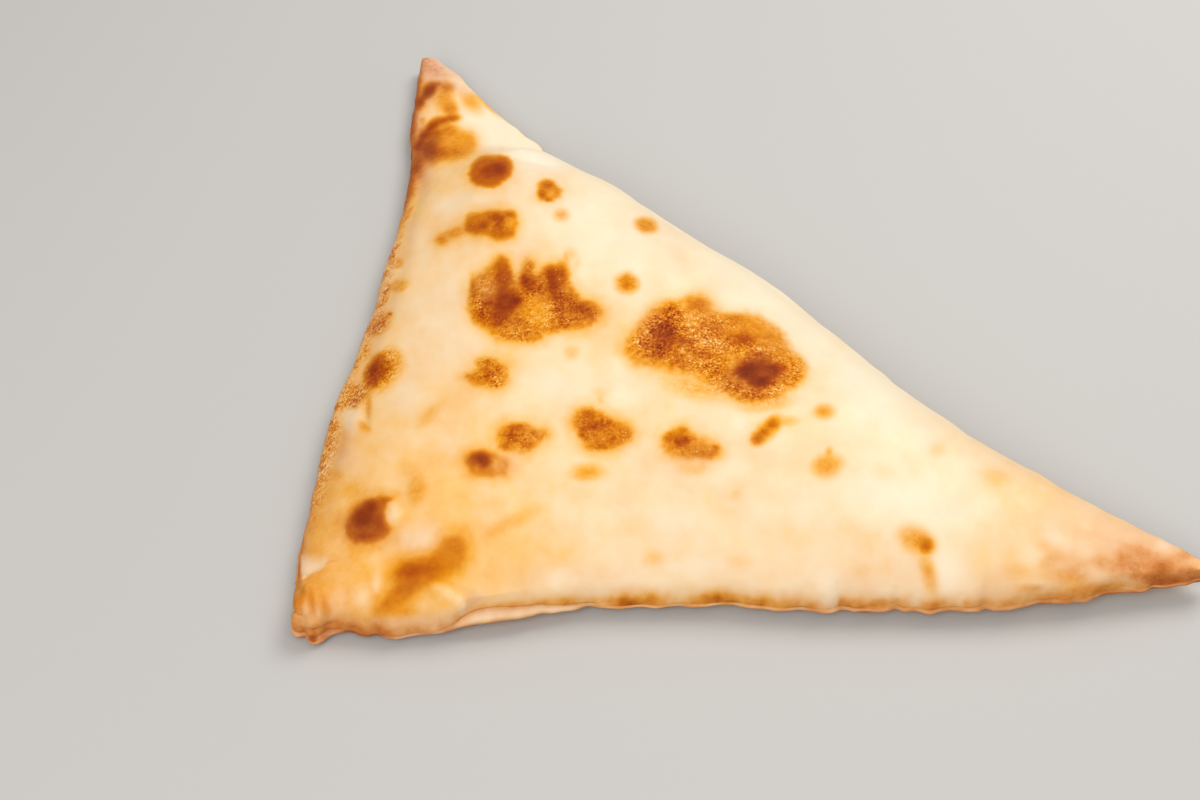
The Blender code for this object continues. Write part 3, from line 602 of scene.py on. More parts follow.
# paler dough, and painted highlights: x, y, a, b, turn, softness, strength
PALE_AND_HIGHLIGHTS = (
    # painted highlight: (392, 513) is the lit side of the blister beside the dark spot
    (438, 68, 22, 13, 0, 1.0, 0.85), (455, 80, 14, 7, -45, 1.0, 0.45), (392, 513, 7, 10, -10, 1.0, 0.5), (536, 157, 26, 6, -12, 0.8, 1.0), (510, 140, 34, 16, -30, 1.0, 0.6), (349, 419, 9, 12, -10, 0.9, 0.5),
 # painted highlights: (621, 396) and (740, 426) are sheen spots, and the four rows from (437, 590) to (461, 609) are
 # the lit crest of the petal
 (621, 396, 12, 10, 0, 1.0, 0.5), (740, 426, 8, 9, 0, 1.0, 0.5), (437, 590, 9, 4, -20, 1.0, 0.28), (447, 595, 9, 4.4, -35, 1.0, 0.36), (456, 602, 9, 4.4, -45, 1.0, 0.4), (461, 609, 4.4, 7, 0, 1.0, 0.32),
    # painted highlight: (1162, 544) is the lit fold edge at the right tip; (905, 500) is paler dough and partly a
    # painted highlight on the right of the dome
    (1162, 544, 17, 5, 24, 1.0, 0.4), (1033, 560, 14, 10, 0, 1.0, 0.35), (1083, 548, 12, 8, -30, 1.0, 0.3), (1045, 585, 16, 8, 0, 1.0, 0.35), (700, 568, 30, 8, 0, 1.0, 0.45), (800, 505, 40, 16, 0, 1.0, 0.3), (905, 500, 60, 26, -15, 1.0, 0.7),
    (560, 582, 12, 12, 0, 1.0, 0.5), (1063, 541, 14, 8, -30, 1.0, 0.4), (832, 590, 10, 20, 0, 0.9, 0.5), (952, 570, 12, 26, 0, 1.0, 0.6),
    (374, 585, 5, 10, 0, 1.0, 0.4), (360, 600, 9, 12, 0, 1.0, 0.35), (560, 384, 40, 18, 0, 1.0, 0.35), (415, 538, 24, 12, 0, 1.0, 0.35),
    # paler dough along the fold, partly a painted highlight of the light from behind on the right: (600, 236), (780,
    # 318) and (880, 400)
    (600, 236, 60, 26, -35, 1.0, 0.5), (780, 318, 60, 22, -40, 1.0, 0.5), (880, 400, 60, 22, -38, 1.0, 0.5), (450, 205, 16, 12, 0, 1.0, 0.3),
    (720, 470, 26, 12, 0, 1.0, 0.3), (690, 520, 40, 10, 0, 1.0, 0.25), (1094, 572, 12, 8, 0, 1.0, 0.25), (305, 620, 10, 8, 0, 1.0, 0.2), (304, 613, 3, 8, 8, 1.0, 0.35), (316, 614, 3, 9, 12, 1.0, 0.35), (336, 604, 8, 12, 0, 1.0, 0.2),
)
# the pale facet beside the pinched corner
FACET = ((299, 558), (299, 570), (300.5, 581), (305, 578), (310, 574.5), (316, 572), (322, 567.5), (326, 562), (323, 553), (316, 548), (308, 547), (302, 552))
# pinker, duller dough, with the pink of a painted highlight and of a painted shadow: x, y, a, b, turn, softness,
# strength
BLUSH = (
    (434, 70, 24, 18, 0, 0.8, 1.4), (456, 78, 18, 10, -45, 0.8, 1.0), (415, 118, 9, 40, 8, 0.8, 1.0), (429, 95, 18, 10, 50, 0.7, 0.8),
    (420, 155, 14, 34, 6, 0.8, 0.9), (405, 205, 7, 30, 8, 0.9, 0.7), (318, 575, 22, 50, 0, 1.0, 0.3), (318, 622, 44, 24, 0, 1.0, 0.6),
    (505, 466, 14, 12, 0, 1.0, 0.35), (380, 300, 9, 90, -14, 1.0, 0.5), (340, 455, 14, 60, -14, 1.0, 0.45), (300, 545, 10, 60, -8, 1.0, 0.7),
    # pink of the painted highlight on the fold edge at the right tip: (1164, 545)
    (410, 540, 34, 14, 10, 1.0, 0.4), (700, 465, 60, 26, 0, 1.0, 0.25), (1140, 560, 80, 36, -18, 0.9, 1.0), (1164, 545, 18, 7, 24, 0.9, 1.15), (1186, 571, 18, 11, 0, 1.0, 1.2), (1085, 560, 40, 30, 0, 1.0, 0.7), (600, 585, 60, 16, 0, 1.0, 0.35),
    (870, 585, 50, 20, 0, 1.0, 0.5), (1010, 590, 70, 18, 0, 1.0, 0.5), (360, 520, 22, 22, 0, 0.6, 0.5), (757, 372, 26, 16, 0, 0.6, 0.45),
    (479, 459, 12, 8, 0, 0.7, 0.4), (487, 290, 14, 14, 0, 0.9, 0.5), (500, 300, 18, 20, 0, 0.9, 0.25), (530, 430, 12, 8, 0, 0.9, 0.1),
    # painted shadow beside the petal's far side: (472, 604)
    (660, 330, 16, 22, 20, 0.9, 0.35), (700, 345, 30, 16, -10, 0.9, 0.3), (528, 282, 30, 14, 0, 0.9, 0.2), (472, 604, 9, 8, 0, 0.8, 0.6),
)


def blob(at, warp, row):
    """1 inside a slightly uneven ellipse in the picture frame, softly falling to 0 outside."""
    x, y, a, b, turn, soft = row[:6]
    out = np.zeros(len(at))
    reach = max(a, b) * (1.35 + soft) + 3.0
    near = (np.abs(at[:, 0] - x) < reach) & (np.abs(at[:, 1] - y) < reach)
    if not near.any():
        return out
    dx, dy = at[near, 0] - x, at[near, 1] - y
    c, s = math.cos(math.radians(turn)), -math.sin(math.radians(turn))
    u, v = (dx * c + dy * s) / a, (-dx * s + dy * c) / b
    away = np.hypot(u, v) + warp[near] / (8.0 + math.sqrt(a * b))
    out[near] = smooth((1.0 + soft - away) / (2.0 * soft))
    return out


def outline_depth(x, y, outline):
    """How far inside the outline each place is, negative outside it."""
    best, inside = np.full(x.shape, 1e9), np.zeros(x.shape, bool)
    for i, (x0, y0) in enumerate(outline):
        x1, y1 = outline[(i + 1) % len(outline)]
        d, _ = away_from_line(x, y, x0, y0, x1, y1)
        best = np.minimum(best, d)
        if y0 != y1:
            inside ^= ((y0 > y) != (y1 > y)) & (x < (x1 - x0) * (y - y0) / (y1 - y0) + x0)
    return np.where(inside, best, -best)


def crust_fields(at, points):
    """Browning, grain, pallor, pinkness and blister lift for places in the picture frame, with some painted highlights
    in the pallor and some painted shade in the browning and pinkness.
    """
    x, y = at[:, 0], at[:, 1]
    warp = 2.4 * noise(x, y, 17.0, 11) + 1.3 * noise(x, y, 7.0, 12)
    ragged = 1.3 * noise(x, y, 12.0, 13) + 1.5 * noise(x, y, 6.0, 14) + 0.9 * noise(x, y, 3.4, 15)
    brown, grain, lift, haze = np.zeros(len(at)), np.zeros(len(at)), np.zeros(len(at)), np.zeros(len(at))
    for outline, fade, edge, inner, deep, sandy, rise in PATCHES:
        xs, ys = zip(*outline)
        near = (x > min(xs) - 16) & (x < max(xs) + 16) & (y > min(ys) - 16) & (y < max(ys) + 16)
        depth = outline_depth(x[near], y[near], outline) + ragged[near] * (0.35 + 0.65 * sandy)
        share = smooth(0.5 + depth / (1.5 * fade))
        brown[near] += (share * (edge + (inner - edge) * smooth(depth / deep))) ** 5
        grain[near] = np.maximum(grain[near], sandy * share * (0.25 + 0.75 * smooth(depth / 13.0)))
        haze[near] = np.maximum(haze[near], smooth(1.0 + depth / 13.0) * min(1.0, edge * 2.6))
        lift[near] += (rise * smooth(depth / 7.0)) ** 4
    for row in MARKS:
        b = blob(at, warp, row)
        brown += (row[6] * b) ** 5
        grain = np.maximum(grain, row[7] * b)
        lift += (max(row[8], 0.0) * b) ** 4
    brown, lift = brown**0.2, lift**0.25
    for row in SMOOTHER:
        grain *= 1.0 - row[6] * blob(at, warp, row)
    for row in LIGHTER:
        b = blob(at, warp, row)
        brown *= 1.0 - row[6] * b
    pale, blush = np.zeros(len(at)), np.zeros(len(at))
    for row in PALE_AND_HIGHLIGHTS:
        pale = np.maximum(pale, row[6] * blob(at, warp * 2.5, row))
    for row in BLUSH:
        blush = np.maximum(blush, row[6] * blob(at, warp * 2.5, row))
    # the dough itself: more golden in front on the left, on the left flank and at the right tip, paler
    # along the fold, and painted shade in the hollow below the back flap's crease
    depth = edge_depths(points)
    from_fold, from_left = depth["fold"][0], depth["left"][0]
    under = 0.100 - 0.085 * (1.0 - smooth((from_fold - 6.0) / 48.0)) * smooth((1010 - x) / 120)
    under += 0.090 * smooth((640 - x) / 280) * smooth((y - 330) / 200)
    under += 0.030 * smooth((600 - x) / 160) + 0.13 * hump(np.maximum(from_left, 0.0), 0.0, 9.0)
    under += 0.055 * smooth((x - 950) / 130) + 0.05 * smooth((x - 950) / 100) * smooth((y - 530) / 40)
    under += 0.06 * smooth((430 - x) / 110) * smooth((y - 545) / 40)
    under += 0.048 * hump(x, 515, 70) * hump(y, 560, 34) + 0.025 * hump(x, 425, 40) * hump(y, 515, 30)
    under += 0.05 * hump(x, 446, 26) * hump(y, 182, 22) + 0.055 * hump(x, 612, 20) * hump(y, 332, 30)
    under -= 0.022 * hump(x, 425, 50) * hump(y, 320, 60)
    # painted shade: the first term darkens the hollow below the back flap's crease
    under += 0.04 * hump(x, 560, 14) * hump(y, 173, 9) + 0.012 * hump(x, 640, 70) * hump(y, 500, 40)
    under += 0.026 * noise(x, y, 52.0, 21) + 0.024 * noise(x, y, 23.0, 22) + 0.014 * noise(x, y, 9.0, 23)
    # a golden haze lies round each patch
    under += 0.085 * haze
    facet = smooth(0.5 + outline_depth(x, y, FACET) / 3.0) * smooth((y - 546 - 0.25 * (x - 300)) / 20)
    pale = np.maximum(pale, 0.62 * facet)
    brown = brown * (1.0 - facet)
    under = np.clip(under * (1.0 - 0.55 * pale), 0.0, 1.0)
    brown = (np.maximum(brown, 0.0) ** 3 + under**3) ** (1 / 3)
    blush = np.clip(blush + 0.14 + 0.22 * noise(x, y, 38.0, 24), 0.0, np.maximum(1.0, blush))
    pale = np.clip(pale + 0.22 * noise(x, y, 27.0, 25), 0.0, 1.0)
    return brown, grain, pale, blush, lift


def away_from_line(x, y, x0, y0, x1, y1):
    dx, dy = x1 - x0, y1 - y0
    share = np.clip(((x - x0) * dx + (y - y0) * dy) / (dx * dx + dy * dy), 0.0, 1.0)
    return np.hypot(x - x0 - share * dx, y - y0 - share * dy), share


def ridge(x, y, line, below, above, ends):
    """0 to 1 beside a bent line that runs to the right: how it falls off below it and above it."""
    best, lower, share = np.full(x.shape, 1e9), np.ones(x.shape), np.zeros(x.shape)
    spans = [math.dist(line[i], line[i + 1]) for i in range(len(line) - 1)]
    done = 0.0
    for i, span in enumerate(spans):
        (x0, y0), (x1, y1) = line[i], line[i + 1]
        d, s = away_from_line(x, y, x0, y0, x1, y1)
        closer = d < best
        best = np.where(closer, d, best)
        lower = np.where(closer, np.sign((x1 - x0) * (y - y0) - (y1 - y0) * (x - x0)), lower)
        share = np.where(closer, (done + s * span) / sum(spans), share)
        done += span
    fade = smooth(share / ends[0]) * smooth((1.0 - share) / ends[1])
    return np.exp(-((best / np.where(lower > 0, below, above)) ** 2)) * fade


def dents(at, points):
    """Pinches, folds and wrinkles, in millimetres along the crust's own outward direction."""
    x, y = at[:, 0], at[:, 1]
    high = np.zeros(len(at))
    # the petal: a lobe of dough pressed over the front seam, with a steep far side
    petal = ((420, 590), (430, 588), (438, 590), (447, 594.5), (455, 600.5), (461, 607), (464, 615))
    high += 0.85 * ridge(x, y, petal, 18.0, 2.8, (0.25, 0.12))
    high += 0.25 * np.exp(-(((x - 418) / 18) ** 2 + ((y - 604) / 9) ** 2))
    high -= 0.35 * np.exp(-(((x - 470) / 7) ** 2 + ((y - 607) / 8) ** 2))
    # the corner is pinched over: its dough stands above the pale facet beside it
    fold = ((296, 583.5), (301, 581), (308, 576.5), (315, 573), (322, 568), (331, 564), (347, 563))
    high += 1.35 * ridge(x, y, fold, 16.0, 1.8, (0.06, 0.5))
    high -= 0.45 * np.exp(-(((x - 311) / 11) ** 2 + ((y - 564) / 9) ** 2))
    high += 0.35 * np.exp(-(((x - 322) / 12) ** 2 + ((y - 549) / 8) ** 2))
    # creases and lobes of the knob
    for (x0, y0, x1, y1, width, cut) in (
        (287, 610, 297, 613, 2.6, 0.9), (297, 613, 303, 623, 2.8, 0.6), (303, 632, 313, 634, 3.0, 0.9), (313, 634, 334, 624, 2.6, 0.8),
        (299, 590, 306, 583, 3.0, 0.3), (322, 600, 330, 612, 4.0, 0.25),
    ):
        d, _ = away_from_line(x, y, x0, y0, x1, y1)
        high -= cut * np.exp(-((d / width) ** 2))
    for (cx, cy, a, b, rise) in ((296, 600, 8, 8, 0.5), (310, 626, 8, 4, 0.5), (292, 622, 7, 8, 0.4), (316, 606, 9, 9, 0.35),
                                 (352, 606, 12, 10, 0.3), (344, 584, 14, 9, 0.3), (374, 582, 6, 18, 0.3)):
        high += rise * np.exp(-(((x - cx) / a) ** 2 + ((y - cy) / b) ** 2))
    # dents and swells beside the left seam
    for (cx, cy, a, b, rise) in ((349, 418, 8, 12, 0.6), (364, 410, 4, 20, -0.6), (368, 380, 6, 12, -0.35), (372, 330, 12, 16, 0.3),
                                 (345, 455, 12, 16, 0.3), (391, 512, 7, 12, 0.5), (352, 488, 12, 10, -0.3), (400, 545, 30, 9, -0.3),
                                 (415, 491, 9, 18, 0.3), (378, 545, 24, 8, -0.2), (432, 540, 12, 14, -0.25), (514, 521, 26, 8, 0.25)):
        high += rise * np.exp(-(((x - cx) / a) ** 2 + ((y - cy) / b) ** 2))
    # the upright crease in the front
    d, _ = away_from_line(x, y, 841, 585, 842, 612)
    high -= 0.45 * np.exp(-((d / 3.0) ** 2)) - 0.35 * np.exp(-(((x - 829) / 9) ** 2 + ((y - 597) / 14) ** 2))
    d, _ = away_from_line(x, y, 899, 590, 899, 612)
    high -= 0.35 * np.exp(-((d / 3.0) ** 2))
    d, _ = away_from_line(x, y, 986, 588, 986, 612)
    high -= 0.3 * np.exp(-((d / 3.0) ** 2))
    # the back tip is pressed flat, with diagonal pinches
    d, _ = away_from_line(x, y, 418, 148, 450, 118)
    high -= 0.5 * np.exp(-((d / 4.5) ** 2))
    d, _ = away_from_line(x, y, 419, 110, 441, 83)
    high -= 0.45 * np.exp(-((d / 5.0) ** 2))
    # the thin crease where the back flap meets the filled part
    d, _ = away_from_line(x, y, 512, 157, 558, 165)
    high -= 0.35 * np.exp(-((d / 2.6) ** 2))
    # faint wrinkles that gather towards the right tip
    towards = smooth((x - 1030) / 90)
    high += towards * 0.10 * np.sin((y - 0.50 * x) / 6.5 + 2.2 * noise(x, y, 34.0, 39))
    high += towards * 0.16 * noise(x * 0.35 + y * 0.2, y - 0.45 * x, 7.0, 40)
    return high


def slow_relief(points, far, lift):
    """Blisters and slow unevenness of the top, in millimetres."""
    x, y = points[:, 0], points[:, 1]
    depth = edge_depths(points)
    high = 0.9 * lift * (1.0 + 0.30 * noise(x, y, 2.6, 31) + 0.20 * noise(x, y, 1.4, 32))
    high = high + 0.34 * noise(x, y, 24.0, 33) + 0.15 * noise(x, y, 9.5, 34) + 0.05 * noise(x, y, 3.8, 35)
    # the border rolls over gradually
    tips = np.ones(len(points))
    for corner, reach in (("right", 26.0), ("back", 26.0), ("blunt", 10.0)):
        tips *= 1.0 - np.exp(-((np.linalg.norm(points - CORNERS[corner], axis=1) / reach) ** 2))
    high = high - tips * 1.1 * np.clip(1.0 - far / 8.0, 0.0, 1.0) ** 2
    # the pressed strip along the left seam
    inside, share = depth["left"]
    press = smooth((share - 0.10) / 0.12) * smooth((0.86 - share) / 0.12)
    lumps = noise(x, y, 3.8, 36) + 0.6 * noise(x, y, 2.0, 37)
    wide = 6.2 + 1.3 * noise(0 * y, y, 17.0, 38)
    high = high - press * 0.55 * hump(inside, wide, 2.4)
    high = high + press * 0.20 * lumps * smooth((wide + 2.0 - inside) / 3.0)
    return high


def full_top(points, with_dents=True):
    """Height of the top with its relief."""
    far, which = nearest_rim(points)
    plain = plain_top(points, far, which)
    at = seen(np.column_stack([points, plain]))
    height = plain + slow_relief(points, far, crust_fields(at, points)[4])
    if with_dents:
        height = height + dents(at, points)
    return np.minimum(height, SOLID_BOX[1][2] / MM - 0.02)


# ======================================================================================= triangles
def inside_polygon(points, polygon):
    """Whether each point is inside a polygon, and its distance to the polygon's corners."""
    inside, far = np.zeros(len(points), bool), np.zeros(len(points))
    x0, y0 = polygon[:, 0], polygon[:, 1]
    x1, y1 = np.roll(x0, -1), np.roll(y0, -1)
    rise = np.where(y1 == y0, 1e-12, y1 - y0)
    for i in range(0, len(points), 4000):
        p = points[i : i + 4000]
        above = (y0[None] > p[:, 1:]) != (y1[None] > p[:, 1:])
        cross = (x1 - x0)[None] * (p[:, 1:] - y0[None]) / rise[None] + x0[None]
        inside[i : i + 4000] = (above & (p[:, :1] < cross)).sum(1) % 2 == 1
        far[i : i + 4000] = np.hypot(p[:, :1] - x0[None], p[:, 1:] - y0[None]).min(1)
    return inside, far


def honeycomb(spacing, low, high):
    rows = np.arange(low[1], high[1], spacing * math.sqrt(3) / 2)
    cols = np.arange(low[0], high[0], spacing)
    x = cols[None, :] + np.where(np.arange(len(rows)) % 2 == 0, 0.0, spacing / 2)[:, None]
    y = np.repeat(rows[:, None], len(cols), 1)
    return np.stack([x.ravel(), y.ravel()], 1)


def filled(polygon, loose):
    """Triangles that fill the polygon through its own points and the loose ones."""
    count = len(polygon)
    both = np.vstack([polygon, loose])
    _, _, faces, origin, _, _ = delaunay_2d_cdt([Vector(p) for p in both.tolist()], [], [list(range(count))], 1, 1e-7)
    number = np.array([min(o) if o else -1 for o in origin])
    assert (number >= 0).all(), "the outline crosses itself"
    tris = number[np.array([f for f in faces if len(f) == 3])]
    a, b, c = both[tris[:, 0]], both[tris[:, 1]], both[tris[:, 2]]
    area = (b[:, 0] - a[:, 0]) * (c[:, 1] - a[:, 1]) - (b[:, 1] - a[:, 1]) * (c[:, 0] - a[:, 0])
    tris[area < 0] = tris[area < 0][:, ::-1]
    return tris


def near_knob(points):
    return np.linalg.norm(points - np.array([14.0, 8.0]), axis=1) < KNOB_REACH


LOW, HIGH = INNER.min(0) - 2, INNER.max(0) + 2
wide = honeycomb(TOP_SPACING, LOW, HIGH)
tight = honeycomb(KNOB_SPACING, LOW, HIGH)
loose = np.vstack([wide[~near_knob(wide)], tight[near_knob(tight)]])
within, far = inside_polygon(loose, INNER)
top_loose = loose[within & (far > 0.5 * TOP_SPACING)]
top_tris = filled(INNER, top_loose)

under = honeycomb(UNDER_SPACING, LOW, HIGH)
within, far = inside_polygon(under, INNER)
under_loose = under[within & (far > 0.6 * UNDER_SPACING)]
under_tris = filled(INNER, under_loose)

# ============================================================================================ the rim
N = RIM_POINTS
inner_top = full_top(INNER, False)
probe = 0.9
before = full_top(INNER - OUT * probe, False)
fall = np.clip((before - inner_top) / probe, 0.0, 1.8)
for _ in range(3):
    fall = 0.5 * fall + 0.25 * (np.roll(fall, 1) + np.roll(fall, -1))
slope = np.arctan(fall)

SEAM = LIFT + (1 - SEAMED) * RADIUS * 0.92 + SEAMED * (seam_value(2) + 0.22 * edge_noise(8.0, 7))
SEAM = np.minimum(SEAM, inner_top - 1.4)
GROOVE_TALL = np.clip(GROOVE_TALL, 0.2, inner_top - SEAM - 1.0)

rings = []  # each: outward offset from the edge, height, and how far round the rim it is (0 top .. 2 underside)
A = np.stack([-INSET, inner_top], 1)
M = np.stack([-STEP_BACK, SEAM + GROOVE_TALL], 1)
reach = 0.5 * (INSET - STEP_BACK) / np.cos(slope)
reach = np.minimum(reach, 0.75 * (inner_top - M[:, 1]) / np.maximum(np.sin(slope), 1e-3))
P1 = A + reach[:, None] * np.stack([np.cos(slope), -np.sin(slope)], 1)
P2 = M + np.stack([0 * SEAM, 0.55 * (inner_top - M[:, 1])], 1)
for j in range(UPPER_RINGS + 1):
    t = j / UPPER_RINGS
    p = (1 - t) ** 3 * A + 3 * (1 - t) ** 2 * t * P1 + 3 * (1 - t) * t**2 * P2 + t**3 * M
    o, z = p[:, 0] + (EVEN_SCALLOP + (0.45 + 0.55 * ONE_EDGE) * (SCALLOP - EVEN_SCALLOP)) * smooth(t), p[:, 1]
    lumps = edge_noise(3.4, 41, 7.0 * t) * 0.10 + edge_noise(8.0, 42, 9.0 * t) * 0.16
    o = o + smooth(t * 1.4) * (SEAMED + 0.35 * (1 - SEAMED) * smooth((1 - t) / 0.6)) * lumps
    flat = EDGE + OUT * o[:, None]
    dent = dents(seen(np.column_stack([flat, z])), flat)
    lean = math.pi / 2 * smooth(t)
    rings.append((o + dent * math.sin(lean), z + dent * math.cos(lean), t))
dent = dent * smooth((1.0 - np.abs(dent) / 2.0))
# the seam: a narrow groove, then the lower sheet's rounded lip
lip = 0.10 * edge_noise(3.0, 43) * SEAMED
for high, deep, t in ((0.72, 0.45, 1.02), (0.38, 0.60, 1.035), (0.08, 0.50, 1.05)):
    rings.append((-STEP_BACK - deep * GROOVE + EVEN_SCALLOP + (0.6 + 0.4 * ONE_EDGE) * (SCALLOP - EVEN_SCALLOP) + dent, SEAM + high * GROOVE_TALL, t))
B = np.stack([-STEP_BACK - 0.2 * GROOVE, SEAM - 0.10], 1)
C = np.stack([0 * SEAM, SEAM - 0.85 - 0.15 * STEP_BACK], 1)
for j, t in enumerate((0.25, 0.5, 0.75)):
    p = (1 - t) ** 2 * B + 2 * (1 - t) * t * np.stack([C[:, 0] - 0.02, B[:, 1] - 0.05], 1) + t**2 * C
    rings.append((p[:, 0] + SCALLOP + (lip + dent) * t, p[:, 1], 1.08 + 0.05 * j))
for j in range(LOWER_RINGS + 1):
    t = j / LOWER_RINGS
    turn = t * math.pi / 2
    o = -INSET * (1 - math.cos(turn)) + (SCALLOP + lip + dent) * (1 - smooth(t))
    z = LIFT + (C[:, 1] - LIFT) * (1 - math.sin(turn))
    rings.append((o, z, 1.25 + 0.75 * t))

K = len(rings)
ring_points, ring_round = [], []
for k, (o, z, t) in enumerate(rings):
    flat = INNER if k in (0, K - 1) else EDGE + OUT * o[:, None]
    ring_points.append(np.column_stack([flat, z]))
    ring_round.append(np.full(N, t))
ring_points = np.concatenate(ring_points)
ring_round = np.concatenate(ring_round)

# --------------------------------------------------------------------------------- top and underside
top_points = np.column_stack([top_loose, full_top(top_loose)])

far, which = nearest_rim(under_loose)
rolled = LIFT[which] * (1.0 - smooth(far / UNDERSIDE_ROLL))
rough = 0.30 * np.maximum(0.0, noise(under_loose[:, 0], under_loose[:, 1], 11.0, 51)) + 0.16 * np.maximum(
    0.0, noise(under_loose[:, 0], under_loose[:, 1], 4.0, 52))
under_points = np.column_stack([under_loose, rolled + rough * smooth(far / 4.0)])

verts = np.vstack([ring_points, top_points, under_points])
margin = 0.01
verts = np.clip(verts, np.array(SOLID_BOX[0]) / MM + ORIGIN_AT + [margin, margin, 0.0],
                np.array(SOLID_BOX[1]) / MM + ORIGIN_AT - margin)
faces = []
step = np.arange(N)
after = (step + 1) % N
for k in range(K - 1):
    a, b = k * N + step, k * N + after
    c, d = (k + 1) * N + after, (k + 1) * N + step
    faces.append(np.stack([a, d, b], 1))
    faces.append(np.stack([b, d, c], 1))
faces.append(np.where(top_tris < N, top_tris, top_tris - N + K * N))
last = (K - 1) * N
low_tris = np.where(under_tris < N, under_tris + last, under_tris - N + K * N + len(top_points))
faces.append(low_tris[:, ::-1])
faces = np.vstack(faces)

# ------------------------------------------------------------------------------------------ colours
at = seen(verts)
brown, grain, pale, blush, _ = crust_fields(at, verts[:, :2])
count_rim = K * N
ex, ey, rx, ry = (np.tile(v, K) for v in (EDGE_SEEN[:, 0], EDGE_SEEN[:, 1], EDGE[:, 0], EDGE[:, 1]))
seamed, front, left, fold, groove, tall = (np.tile(v, K) for v in (SEAMED, ON_FRONT, ON_LEFT, ON_FOLD, GROOVE, GROOVE_TALL))
t = ring_round

# browning in a band above the seam, growing towards it, partly painted shade on the lower part of the rim
band_front = from_table(ex, (
    (286, 0.28), (310, 0.34), (333, 0.46), (350, 0.58), (372, 0.56), (385, 0.42), (430, 0.40), (455, 0.34), (466, 0.24), (510, 0.29), (560, 0.30), (600, 0.38), (615, 0.40),
    (630, 0.68), (646, 0.58), (656, 0.42), (680, 0.40), (692, 0.44), (712, 0.46), (732, 0.60), (750, 0.44), (780, 0.42), (805, 0.44), (828, 0.22),
    (838, 0.24), (843, 0.48), (852, 0.42), (875, 0.44), (890, 0.33), (904, 0.46), (916, 0.37), (950, 0.37), (985, 0.40), (1000, 0.34),
    (1035, 0.36), (1066, 0.46), (1080, 0.34), (1100, 0.48), (1115, 0.34), (1135, 0.40), (1160, 0.56), (1180, 0.52), (1200, 0.42)))
band_left = from_table(ey, ((60, 0.25), (85, 0.45), (110, 0.55), (150, 0.60), (200, 0.52), (260, 0.42), (330, 0.44), (390, 0.42), (430, 0.44),
                            (520, 0.38), (550, 0.48), (590, 0.46), (604, 0.36), (612, 0.60), (625, 0.40), (640, 0.34)))
band = front * band_front + (1 - front) * band_left
patchy = 0.86 + 0.32 * noise(rx, ry + 3.0 * t, 6.5, 61) + 0.16 * noise(rx, ry + 5.0 * t, 2.8, 62)
above_seam = (0.42 * smooth((t - 0.05) / 0.65) + 0.58 * smooth((t - 0.55) / 0.38)) * (t <= 1.05)
streaks = 1.0 + 0.22 * noise(rx + 1.5 * t, 0.3 * ry + 4.5 * t, 2.3, 67) + 0.16 * noise(rx - 2.0 * t, 0.3 * ry + 3.0 * t, 5.2, 68)
rim_brown_and_shade = seamed * band * patchy * streaks * above_seam
# painted shade in the seam's groove
groove_shade = (0.26 + 0.16 * groove + 0.20 * smooth((tall - 0.7) / 0.8)) * (1 + 0.2 * noise(rx, ry, 4.0, 66))
rim_brown_and_shade = np.maximum(rim_brown_and_shade, seamed * groove_shade * hump(t, 1.03, 0.035) * smooth(groove / 0.3))
# the lower sheet's lip: its own browner tone, partly painted shade on the front, and painted shade on its lower part
lip_low_shade = smooth((t - 1.22) / 0.40)
lip_tone = front * from_table(ex, ((286, 0.30), (335, 0.40), (345, 0.62), (372, 0.55), (385, 0.28), (405, 0.22), (420, 0.34), (434, 0.24), (446, 0.30), (466, 0.20), (480, 0.19), (560, 0.20), (600, 0.26), (760, 0.26), (900, 0.30), (1060, 0.34), (1200, 0.38))) + (1 - front) * 0.36
lip_brown_and_shade = seamed * (lip_tone + 0.10 * noise(rx + 3.0 * t, ry, 3.8, 63)) * (t > 1.06) + seamed * 0.26 * lip_low_shade
rim_brown_and_shade = np.maximum(rim_brown_and_shade, lip_brown_and_shade * (t > 1.06))
# the underside of the right tip's edge is dark
rim_brown_and_shade = np.maximum(rim_brown_and_shade, seamed * 0.66 * smooth((ex - 1110) / 30) * smooth((t - 1.10) / 0.2))
rim_brown_and_shade = np.maximum(rim_brown_and_shade, front * 0.62 * hump(ex, 869, 12) * smooth((t - 1.08) / 0.15))
rim_brown_and_shade = np.maximum(rim_brown_and_shade, front * 0.66 * hump(ex, 309, 8) * hump(t, 1.05, 0.12))
fold_brown = fold * (0.09 + 0.06 * noise(rx, ry, 9.0, 65)) * smooth((t - 0.35) / 0.5) + fold * 0.20 * smooth((t - 1.2) / 0.6)
# at the right tip the browning runs round from the seam on to the fold
round_tip = smooth((ex - 1166) / 30) * smooth((t + 0.15) / 0.5)
rim_brown_and_shade = np.maximum(rim_brown_and_shade, np.maximum(fold_brown, 0.36 * round_tip))
keep_marks = 1.0 - smooth((t - 1.0) / 0.12) * 0.85
b = brown[:count_rim] * keep_marks
brown[:count_rim] = (b**3 + np.maximum(rim_brown_and_shade, 0.0) ** 3) ** (1 / 3)
blush[:count_rim] = np.maximum(blush[:count_rim], seamed * ((0.46 + 0.40 * front * smooth((470 - ex) / 30) + 0.22 * front * smooth((ex - 760) / 60)) * smooth((t - 0.15) / 0.5) + 0.35 * (t > 1.01)))
blush[:count_rim] = np.maximum(blush[:count_rim], 0.5 * round_tip)
pale_lip = front * smooth((610 - ex) / 40) * (0.15 + 0.25 * smooth((ex - 440) / 30))
pale[:count_rim] = np.maximum(pale[:count_rim] * (t < 1.0), seamed * pale_lip * (t > 1.06) * (1 - smooth((t - 1.15) / 0.2)))
grain[:count_rim] = np.maximum(grain[:count_rim], seamed * 0.16 * smooth((t - 0.3) / 0.4) * (t < 1.2))

